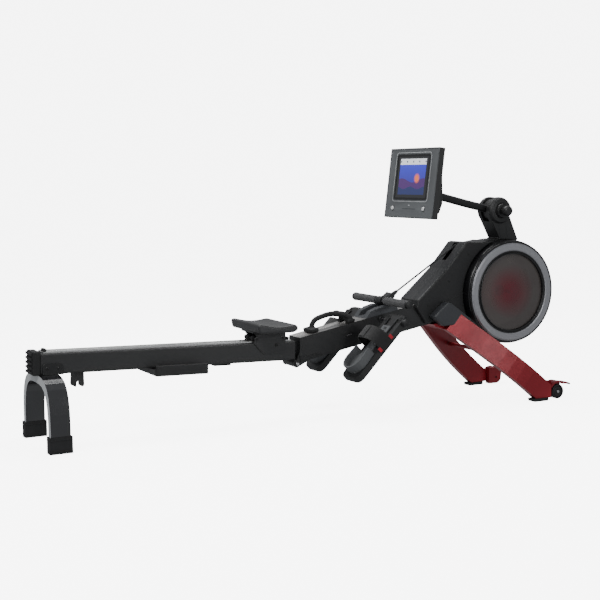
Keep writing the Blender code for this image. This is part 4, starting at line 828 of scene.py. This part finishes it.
def rail_details():
    """The stop blocks at the track's ends, its screws, and the foot that the folded rail stands on."""
    top = RAIL_HIGH + 0.0035
    for n, along in enumerate((-0.975, -0.026)):
        stop = block((0.012, 0.034, 0.010), (along, 0, top + 0.0050))
        rounded(finish_mesh(f"track_stop_{n}", in_rail(stop), RUBBER, "rail"), 0.0025)
    for n in range(6):
        place = RAIL_FRAME @ Vector((-0.930 + 0.174 * n, 0, top - 0.0001))
        bolt(f"track_screw_{n}", place, "Z", 1, 0.0038, "rail")
    for side, sign in SIDES:
        bead = rectangle(RAIL_REAR + 0.012, -0.022, top, top + 0.0012)
        shape = in_rail(prism(bead, *reach(sign, 0.0310, 0.0332)))
        finish_mesh(f"track_bead_{side}", shape, RAIL_METAL, "rail")
    foot = block((0.068, 0.050, 0.0075), (-0.302, 0, RAIL_LOW - 0.0040))
    rounded(finish_mesh("rail_bumper", in_rail(foot), RUBBER, "rail"), 0.0018)
    for n, along in enumerate((-0.322, -0.282)):
        place = RAIL_FRAME @ Vector((along, 0, RAIL_LOW - 0.0077))
        bolt(f"bumper_screw_{n}", place, "Z", -1, 0.0040, "rail")


def boot_treads():
    """Raised bands round the rubber boots of the rear stand."""
    upright = Matrix.Rotation(-math.pi / 2, 4, "X") @ Matrix.Scale(-1, 4, (0, 0, 1))
    for side, sign in SIDES:
        low, high, middle = corners(f"rear_boot_{side}")
        span_x, span_y = high.x - low.x, high.y - low.y
        for n, level in enumerate((0.012, 0.050)):
            band = round_rectangle(span_x + 0.0024, span_y + 0.0024, 0.004, 4, (middle.x, middle.y))
            hole = round_rectangle(span_x - 0.001, span_y - 0.001, 0.003, 4, (middle.x, middle.y))
            shape = prism(band, 0, 0.0042, Matrix.Translation((0, 0, level)) @ upright, [hole])
            rounded(finish_mesh(f"boot_band_{side}_{n}", shape, RUBBER, "rail"), 0.0008, 2)


# Hinge and beam details


def hinge_details():
    """The pin's washers, the lock pin's lug and the reinforcing plates of the fold hinge."""
    for side, sign in SIDES:
        place = HINGE + Vector((0, sign * 0.0470, 0))
        washer = [(0, 0.0020), (0.0105, 0.0020), (0.0110, 0.0012), (0.0110, 0), (0, 0)]
        lathed(f"hinge_washer_{side}", washer, place, sign, 28, BLACK_STEEL, "frame")
        plate = [(0.016, 0.004), (0.118, 0.004), (0.106, 0.016), (0.040, 0.020), (0.018, 0.028)]
        cheek = in_beam(prism(plate, *reach(sign, 0.0462, 0.0486)))
        rounded(finish_mesh(f"hinge_gusset_{side}", cheek, BLACK_STEEL, "frame"), 0.0008)
        slot = round_rectangle(0.026, 0.0050, 0.0024, 4, (0.246, 0.052))
        slot = in_beam(prism(slot, *reach(sign, 0.0459, 0.0472)))
        finish_mesh(f"pull_pin_slot_{side}", slot, STEEL, "frame")
        for n, (along, up) in enumerate(((0.335, 0.047), (0.520, 0.030))):
            bolt(
                f"beam_bolt_{side}_{n}", BEAM_FRAME @ Vector((along, sign * 0.0461, up)), "Y", sign,
                0.0060, "frame",
            )
    collar = [
        (0.0075, 0.0), (0.0150, 0.0), (0.0150, 0.0035), (0.0130, 0.0050), (0.0075, 0.0050),
        (0.0075, 0.0),
    ]
    for side, sign in SIDES:
        place = PEDAL[side].copy()
        place.y = sign * 0.0464
        lathed(f"axle_collar_{side}", collar, place, sign, 32, BLACK_STEEL, "frame")


# Seat details


def seat_details():
    """The padded top, the washers of the rollers and the bolts of the carriage."""
    skin_copy("seat_pad_skin", "seat_pad", 0.0032, SKIN, "seat", 4)
    carriage = corners("seat_carriage")[2]
    washer = [(0.0048, 0), (0.0085, 0), (0.0088, 0.0016), (0.0048, 0.0020), (0.0048, 0)]
    rollers = [corners(f"seat_roller_{end}")[2] for end in ("rear", "front")]
    for side, sign in SIDES:
        for n, roller in enumerate(rollers):
            place = Vector((roller.x, sign * 0.0447, roller.z))
            lathed(f"roller_washer_{side}_{n}", washer, place, sign, 24, BLACK_STEEL, "seat")
        place = Vector((carriage.x + 0.028, sign * 0.0446, carriage.z - 0.012))
        bolt(f"carriage_bolt_{side}", place, "Y", sign, 0.0065, "seat", BLACK_STEEL)


stand_saddle()
rail_details()
boot_treads()
hinge_details()
seat_details()


# Footrest details

PEDAL_CENTRE_Y = 0.151
STRAP_HALF_WIDTH, STRAP_HEIGHT = 0.0650, 0.0725
STRAP_HALF_REACH = 0.0652
SLIDER_TOP = 0.0203


def in_pedal(shape, side):
    pivot = Vector((PEDAL[side].x, 0, PEDAL[side].z))
    frame_of_plate = Matrix.Translation(pivot) @ Matrix.Rotation(-math.atan2(PLATE.z, PLATE.x), 4, "Y")
    bmesh.ops.transform(shape, matrix=frame_of_plate, verts=shape.verts)
    return shape


def strap_arc(centre_y, lift=0.0, steps=28, start=0.0, end=1.0):
    """Points (y, z) over the foot, on the strap's outer face."""
    found = []
    wide, tall = STRAP_HALF_WIDTH + lift, STRAP_HEIGHT + lift
    for n in range(steps + 1):
        angle = math.pi * (start + (end - start) * n / steps)
        bow = (abs(math.cos(angle)) ** 3 + abs(math.sin(angle)) ** 3) ** (-1 / 3)
        found.append((centre_y + wide * bow * math.cos(angle), tall * bow * math.sin(angle)))
    return found


def band(points, start, end, thick, name, material, side, body):
    """A strip of that thickness over (y, z) points, between two distances along the plate.

    Its UVs are in metres.
    """
    shape = bmesh.new()
    layer = shape.loops.layers.uv.new("along")
    along = [0.0]
    for (a, b), (c, d) in zip(points, points[1:]):
        along.append(along[-1] + math.hypot(c - a, d - b))
    across = [start + (end - start) * k / 4 for k in range(5)]
    skins = []
    for face_side in (0, 1):
        rows = []
        for n, (y, z) in enumerate(points):
            before, after = points[max(n - 1, 0)], points[min(n + 1, len(points) - 1)]
            tangent = Vector((after[0] - before[0], after[1] - before[1])).normalized()
            out = Vector((tangent.y, -tangent.x))
            push = thick * face_side
            rows.append([shape.verts.new((x, y + out.x * push, z + out.y * push)) for x in across])
        skins.append(rows)
    count, wide = len(points), len(across)
    place = {}
    for rows in skins:
        for n in range(count):
            for k in range(wide):
                place[rows[n][k]] = (along[n], across[k])
    inner, outer = skins
    for n in range(count - 1):
        for k in range(wide - 1):
            shape.faces.new((outer[n][k], outer[n + 1][k], outer[n + 1][k + 1], outer[n][k + 1]))
            shape.faces.new((inner[n][k], inner[n][k + 1], inner[n + 1][k + 1], inner[n + 1][k]))
        for k in (0, wide - 1):
            shape.faces.new((inner[n][k], inner[n + 1][k], outer[n + 1][k], outer[n][k]))
    for n in (0, count - 1):
        for k in range(wide - 1):
            shape.faces.new((inner[n][k], outer[n][k], outer[n][k + 1], inner[n][k + 1]))
    for face in shape.faces:
        for loop in face.loops:
            loop[layer].uv = place[loop.vert]
    return finish_mesh(name, in_pedal(shape, side), material, body)


def pedal_details(side, sign):
    """The woven strap with its flap and tabs, the slider's ribs and guides, and the treads and caps."""
    rest, heel = f"footrest_{side}", f"heel_{side}"
    middle_y = sign * PEDAL_CENTRE_Y
    feet = [(middle_y + end * STRAP_HALF_REACH, -0.009) for end in (1, -1)]
    outer = [feet[0], *strap_arc(middle_y), feet[1]]
    band(outer, -0.1425, -0.0815, 0.0012, f"strap_woven_{side}", STRAP, side, rest)
    flap = strap_arc(middle_y, 0.0028, 12, *(0.10, 0.52) if sign < 0 else (0.48, 0.90))
    band(flap, -0.1370, -0.0870, 0.0014, f"strap_flap_{side}", STRAP, side, rest)
    tab_part = (0.90, 0.98) if sign < 0 else (0.02, 0.10)
    for n, (low, high) in enumerate(((-0.1520, -0.1400), (-0.0850, -0.0730))):
        band(
            strap_arc(middle_y, 0.0018, 6, *tab_part), low, high, 0.0016, f"strap_tab_{side}_{n}",
            RED_TAB, side, rest,
        )
    top = SLIDER_TOP
    for n, along in enumerate((-0.050, -0.068)):
        loop = rectangle(along - 0.0055, along + 0.0055, top, top + 0.0010)
        shape = in_pedal(prism(loop, middle_y - 0.0075, middle_y + 0.0075), side)
        finish_mesh(f"index_window_{side}_{n}", shape, SATIN_BLACK, heel)
    for n in range(7, 11):
        along = -0.092 - 0.0085 * n
        loop = [
            (along, top), (along + 0.0022, top), (along + 0.0016, top + 0.0012),
            (along + 0.0006, top + 0.0012),
        ]
        shape = in_pedal(prism(loop, middle_y - 0.021, middle_y + 0.021), side)
        finish_mesh(f"slider_rib_{side}_{n}", shape, DARK_GREY, heel)
    guide = [(0.004, 0.0133), (0.004, 0.0178), (-0.004, 0.0190), (-0.112, 0.0190), (-0.112, 0.0133)]
    for edge in (-1, 1):
        low, high = sorted((middle_y + edge * 0.0262, middle_y + edge * 0.0292))
        shape = in_pedal(prism(guide, low, high), side)
        rounded(finish_mesh(f"slider_guide_{side}_{edge + 1}", shape, BLACK, rest), 0.0006)
    for n in range(7):
        along = -0.012 + 0.0042 * n
        loop = [
            (along, 0.0130), (along + 0.0020, 0.0130), (along + 0.0015, 0.0142),
            (along + 0.0005, 0.0142),
        ]
        for edge in (-1, 1):
            low, high = sorted((middle_y + edge * 0.032, middle_y + edge * 0.050))
            shape = in_pedal(prism(loop, low, high), side)
            finish_mesh(f"toe_tread_{side}_{n}_{edge + 1}", shape, RUBBER, rest)
    cap = PEDAL[side].copy()
    cap.y = sign * 0.2212
    profile = [
        (0, 0.0060), (0.0080, 0.0058), (0.0125, 0.0040), (0.0140, 0.0010), (0.0140, -0.0095),
        (0.0078, -0.0095), (0.0078, 0.0), (0, 0.0),
    ]
    lathed(f"axle_cap_{side}", profile, cap, sign, 32, BLACK, "frame")


for side, sign in SIDES:
    pedal_details(side, sign)


# Handle details


def handle_details():
    """The ribs and end caps of the grips, the clamp's fins and screws, and the cord's ferrule."""
    centre = handle_centre()
    for side, sign in SIDES:
        for n in range(30):
            at = 0.040 + 0.0054 * n
            place = centre + Vector((0, sign * at, 0))
            profile = [
                (0.01535, 0), (0.01605, 0.0006), (0.01615, 0.0016), (0.01605, 0.0026),
                (0.01535, 0.0032), (0.01535, 0),
            ]
            lathed(f"grip_rib_{side}_{n}", profile, place, sign, 24, FOAM, "handle")
        end = centre + Vector((0, sign * 0.2020, 0))
        profile = [
            (0, 0.0075), (0.0125, 0.0070), (0.0158, 0.0050), (0.0168, 0.0010), (0.0168, -0.0080),
            (0.0156, -0.0095), (0.0150, -0.0095), (0.0150, 0.0), (0, 0.0),
        ]
        lathed(f"grip_end_cap_{side}", profile, end, sign, 32, BLACK, "handle")
        fin = [
            (-0.012, 0.008), (0.002, 0.016), (0.016, 0.016), (0.030, 0.026), (0.041, 0.034),
            (0.036, 0.021), (0.026, 0.010), (0.010, 0.002),
        ]
        fin = [(centre.x + a, centre.z + b) for a, b in fin]
        shape = prism(fin, *reach(sign, 0.0168, 0.0225))
        rounded(finish_mesh(f"clamp_fin_{side}", shape, BLACK, "handle"), 0.0018, 3)
        bolt(
            f"clamp_screw_{side}", centre + Vector((0.032, sign * 0.0165, 0.010)), "Y", sign, 0.0042,
            "handle",
        )
    clamp_end = centre + CLAMP_EYE
    away = (cord_route()[20] - clamp_end).normalized()
    bore = CORD_DIAMETER / 2 + 0.0005
    profile = [
        (bore, 0.0), (0.0085, 0.0), (0.0090, 0.004), (0.0078, 0.016), (0.0056, 0.024),
        (bore, 0.024), (bore, 0.0),
    ]
    shape = lathe(profile, Vector((0, 0, 0)), "Z", 1, 28)
    turn = away.to_track_quat("Z", "Y").to_matrix().to_4x4()
    bmesh.ops.transform(shape, matrix=Matrix.Translation(clamp_end) @ turn, verts=shape.verts)
    finish_mesh("cord_ferrule", shape, BLACK, "handle")


handle_details()


# Shroud, drum and leg details


HALF_LENGTH = 1.11375


def station_x(distance):
    """World X of a distance from the rear end."""
    return distance - HALF_LENGTH


def shroud_details():
    """The covers over the leg roots, the shroud's seams and screws, and the lip of the cord's slot."""
    for side, sign in SIDES:
        root = [
            (1.622, 0.362), (1.687, 0.416), (1.702, 0.414), (1.804, 0.342), (1.800, 0.326),
            (1.668, 0.322),
        ]
        shape = prism([(station_x(a), b) for a, b in root], *reach(sign, 0.0662, 0.1085))
        rounded(finish_mesh(f"leg_root_cover_{side}", shape, DARK_GREY, "frame"), 0.0040, 4)
        seam = [
            (1.600, 0.437), (1.700, 0.420), (1.722, 0.4225), (1.796, 0.448), (1.796, 0.4465),
            (1.722, 0.4205), (1.700, 0.418), (1.600, 0.435),
        ]
        shape = prism([(station_x(a), b) for a, b in seam], *reach(sign, 0.0655, 0.0668))
        finish_mesh(f"shroud_seam_{side}", shape, SATIN_BLACK, "frame")
        for n, (a, b) in enumerate(((1.598, 0.410), (1.700, 0.505), (1.795, 0.610), (1.800, 0.460))):
            bolt(
                f"shroud_screw_{side}_{n}", Vector((station_x(a + 0.02), sign * 0.0658, b - 0.008)),
                "Y", sign, 0.0038, "frame", BLACK_STEEL,
            )
    lip_middle = Vector((station_x(1.7735), 0, 0.6115))
    slope = math.atan2(0.648 - 0.549, 1.800 - 1.712)
    frame_of_slope = Matrix.Translation(lip_middle) @ Matrix.Rotation(-slope, 4, "Y")
    outer = round_rectangle(0.110, 0.042, 0.008, 5)
    inner = round_rectangle(0.096, 0.027, 0.004, 5)
    flat = Matrix.Rotation(-math.pi / 2, 4, "X")
    lip = prism(
        outer, -0.0025, 0.0020, frame_of_slope @ Matrix.Translation((0, 0, 0.0015)) @ flat, [inner]
    )
    rounded(finish_mesh("cord_slot_lip", lip, SATIN_BLACK, "frame"), 0.0010)


def drum_details():
    """Stepped rims round the drum, the dark ring inside the silver one, and the flywheel's hub."""
    centre = Vector((DRUM.x, 0, DRUM.z))
    face = 0.0980
    rims = (
        (0.2052, 0.2110, face - 0.003, face + 0.0030),
        (0.1590, 0.1638, face - 0.001, face + 0.0075),
        (0.1655, 0.1712, face - 0.001, face + 0.0058),
    )
    step = ring_profile(0.2150, 0.2172, 0.030, 0.036, 0.0010)
    hub = [
        (0, 0.026), (0.010, 0.026), (0.0115, 0.023), (0.0200, 0.023), (0.0225, 0.019),
        (0.0225, 0.0165), (0, 0.0165),
    ]
    for side, sign in SIDES:
        for n, rim in enumerate(rims):
            profile = ring_profile(*rim, 0.0012)
            lathed(f"drum_rim_{side}_{n}", profile, centre, sign, 96, SATIN_BLACK, "frame")
        lathed(f"drum_step_{side}", step, centre, sign, 96, BLACK, "frame")
        lathed(f"flywheel_hub_{side}", hub, DRUM, sign, 32, SATIN_BLACK, "flywheel_disc")
    inner, outer, half = 0.2148, 0.2163, 0.0012
    seam = [(inner, -half), (outer, -half), (outer, half), (inner, half), (inner, -half)]
    lathed("drum_seam", seam, DRUM, 1, 96, SATIN_BLACK, "frame")


def wheel_details():
    """The wheels' caps and webs, the rubber tips of the tread lips, and the ribs of the leg pads."""
    for side, sign in SIDES:
        hub = [(0, 0.0010), (0.0050, 0.0010), (0.0060, 0.0), (0.0060, -0.003), (0, -0.003)]
        place = WHEEL[side].copy()
        place.y = sign * 0.2365
        lathed(f"wheel_cap_{side}", hub, place, sign, 24, STEEL, f"wheel_{side}")
        web = ring_profile(0.0105, 0.0195, 0.0, 0.0012, 0.0006)
        place = Vector((WHEEL[side].x, sign * 0.2322, WHEEL[side].z))
        lathed(f"wheel_web_{side}", web, place, sign, 40, BLACK, f"wheel_{side}")
        tip = [(1.0875, 0.0570), (1.0995, 0.0545), (1.1010, 0.0605), (1.0880, 0.0665)]
        shape = prism(tip, *reach(sign, 0.1875, 0.2370))
        rounded(finish_mesh(f"tread_tip_{side}", shape, RUBBER, "frame"), 0.0008)
        low, high, middle = corners(f"front_foot_{side}")
        for n in (-1, 1):
            groove = block(
                (0.004, high.y - low.y + 0.001, 0.004), (middle.x + 0.018 * n, middle.y, 0.0080)
            )
            rounded(finish_mesh(f"foot_rib_{side}_{n + 1}", groove, RUBBER, "frame"), 0.0008, 2)


shroud_details()
drum_details()
wheel_details()


# Mast and console details

CONSOLE_TILT = Matrix.Rotation(math.radians(7.5), 4, "Y")
CONSOLE_FRAME = Matrix.Translation((station_x(1.581), 0, 0.897)) @ CONSOLE_TILT


def on_face(shape):
    """A shape drawn in XZ, where x is across the console and z is up, laid on its front face."""
    across = Matrix(((0, -1, 0, 0), (-1, 0, 0, 0), (0, 0, 1, 0), (0, 0, 0, 1)))
    bmesh.ops.transform(shape, matrix=CONSOLE_FRAME @ across, verts=shape.verts)
    return shape


def console_details():
    """The bezel lines, button rings and marks of the front, and the vents and screws of the back."""
    outer = round_rectangle(0.2560, 0.1990, 0.014, 6, (0, 0.024))
    inner = round_rectangle(0.2520, 0.1950, 0.0125, 6, (0, 0.024))
    line = finish_mesh(
        "bezel_line", on_face(prism(outer, 0.0, 0.0008, Matrix(), [inner])), PALE_GREY, "console"
    )
    outer = round_rectangle(0.2400, 0.1840, 0.010, 6, (0, 0.024))
    inner = round_rectangle(0.2226, 0.1666, 0.003, 4, (0, 0.024))
    frame_ring = on_face(prism(outer, 0.0, 0.0009, Matrix(), [inner]))
    rounded(finish_mesh("screen_frame", frame_ring, SATIN_BLACK, "console"), 0.0003, 2)
    for n, (x, z, wide) in enumerate(((0.0, -0.090, 0.012), (0.0, -0.1045, 0.100))):
        mark = round_rectangle(wide, 0.0030, 0.0014, 3, (x, z))
        finish_mesh(
            f"console_mark_{n}", on_face(prism(mark, 0.0, 0.0005)),
            PALE_GREY if n == 0 else DARK_GREY, "console",
        )
    for side, y, z in (("left", 0.120, -0.1025), ("right", -0.106, -0.1025)):
        rim, hole = (arc((-y, z), radius, 0, 350, 35) for radius in (0.0108, 0.0090))
        ring = on_face(prism(rim, 0.0, 0.0012, Matrix(), [hole]))
        finish_mesh(f"button_ring_{side}", ring, SATIN_BLACK, "console")
        icon = rectangle(-y - 0.0010, -y + 0.0010, z - 0.0030, z + 0.0030)
        icon = on_face(prism(icon, 0.0029, 0.0035))
        finish_mesh(f"button_icon_{side}", icon, DARK_GREY, f"button_{side}")
    rim = round_rectangle(0.3500, 0.2780, 0.010, 6)
    hole = round_rectangle(0.3440, 0.2720, 0.008, 6)
    rounded(
        finish_mesh(
            "console_rim_bead", on_face(prism(rim, 0.0, 0.0016, Matrix(), [hole])), MID_GREY, "console"
        ),
        0.0006, 2,
    )
    for n in range(7):
        level = -0.020 + 0.010 * n
        vent = block((0.0016, 0.150, 0.0036), (0.0, 0, 0))
        depth = 0.0600 + (0.0460 - 0.0600) * (level + 0.060) / 0.090
        bmesh.ops.translate(vent, vec=(depth, 0, level), verts=vent.verts)
        bmesh.ops.transform(vent, matrix=CONSOLE_FRAME, verts=vent.verts)
        finish_mesh(f"console_vent_{n}", vent, SATIN_BLACK, "console")
    screw = [(0, 0.0015), (0.0030, 0.0016), (0.0040, 0.0008), (0.0040, -0.001), (0, -0.001)]
    for n, (y, z) in enumerate(((-0.13, 0.09), (0.13, 0.09), (-0.13, -0.04), (0.13, -0.04))):
        upper, lower = 0.0460 - 0.004 * (z - 0.030) / 0.081, 0.0600 - 0.014 * (z + 0.060) / 0.090
        place = CONSOLE_FRAME @ Matrix.Translation((upper if z > 0.03 else lower, y, z))
        head = lathe(screw, Vector((0, 0, 0)), "Z", 1, 20)
        turn = place @ Matrix.Rotation(math.pi / 2, 4, "Y")
        bmesh.ops.transform(head, matrix=turn, verts=head.verts)
        finish_mesh(f"console_screw_{n}", head, STEEL, "console")


def mast_details():
    """The housing's raised round cheeks, a seam down the post, and grips on the knob."""
    for side, sign in SIDES:
        low = 0.0400
        profile = [
            (0.0300, low), (0.0535, low), (0.0540, low + 0.0030), (0.0480, low + 0.0100),
            (0.0340, low + 0.0130), (0.0310, low + 0.0120), (0.0300, low),
        ]
        lathed(f"mast_cheek_{side}", profile, ARM, sign, 64, BLACK, "frame")
        for n, along in enumerate((-0.016, 0.020)):
            bottom = 0.668
            seam = [
                (ARM.x + along, bottom), (ARM.x + along + 0.0022, bottom),
                (ARM.x + along - 0.0080, 0.722), (ARM.x + along - 0.0102, 0.722),
            ]
            shape = prism([(a + 0.020, b) for a, b in seam], *reach(sign, 0.0398, 0.0408))
            finish_mesh(f"mast_seam_{side}_{n}", shape, SATIN_BLACK, "frame")
    grip = [(0, 0.0050), (0.0022, 0.0046), (0.0026, 0.0), (0.0022, -0.0046), (0, -0.0050)]
    for n in range(10):
        angle = 2 * math.pi * n / 10
        place = ARM + Vector((0.0292 * math.cos(angle), -0.0470, 0.0292 * math.sin(angle)))
        lathed(f"knob_grip_{n}", grip, place, -1, 12, BLACK, "knob")
    nut = [(0, 0.006), (0.0095, 0.006), (0.0105, 0.0045), (0.0105, -0.0040), (0, -0.0040)]
    place = ARM + Vector((0, 0.0560, 0))
    lathed("arm_bolt_nut", nut, place, 1, 6, STEEL, "knob")


console_details()
mast_details()


# Handle cradle details


def cradle_details():
    """The prongs that the parked handle rests against."""
    centre = handle_centre()
    for side, sign in SIDES:
        prong = [
            (-0.060, -0.034), (-0.020, -0.024), (0.006, -0.026), (0.026, -0.012), (0.030, 0.004),
            (0.026, 0.006), (0.0195, 0.001), (0.0150, -0.0085), (0.0040, -0.0175), (-0.016, -0.0150),
            (-0.056, -0.026),
        ]
        prong = [(centre.x + a, centre.z + b) for a, b in prong]
        shape = prism(prong, *reach(sign, 0.0488, 0.0535))
        rounded(finish_mesh(f"cradle_prong_{side}", shape, DARK_GREY, "frame"), 0.0014, 3)


cradle_details()
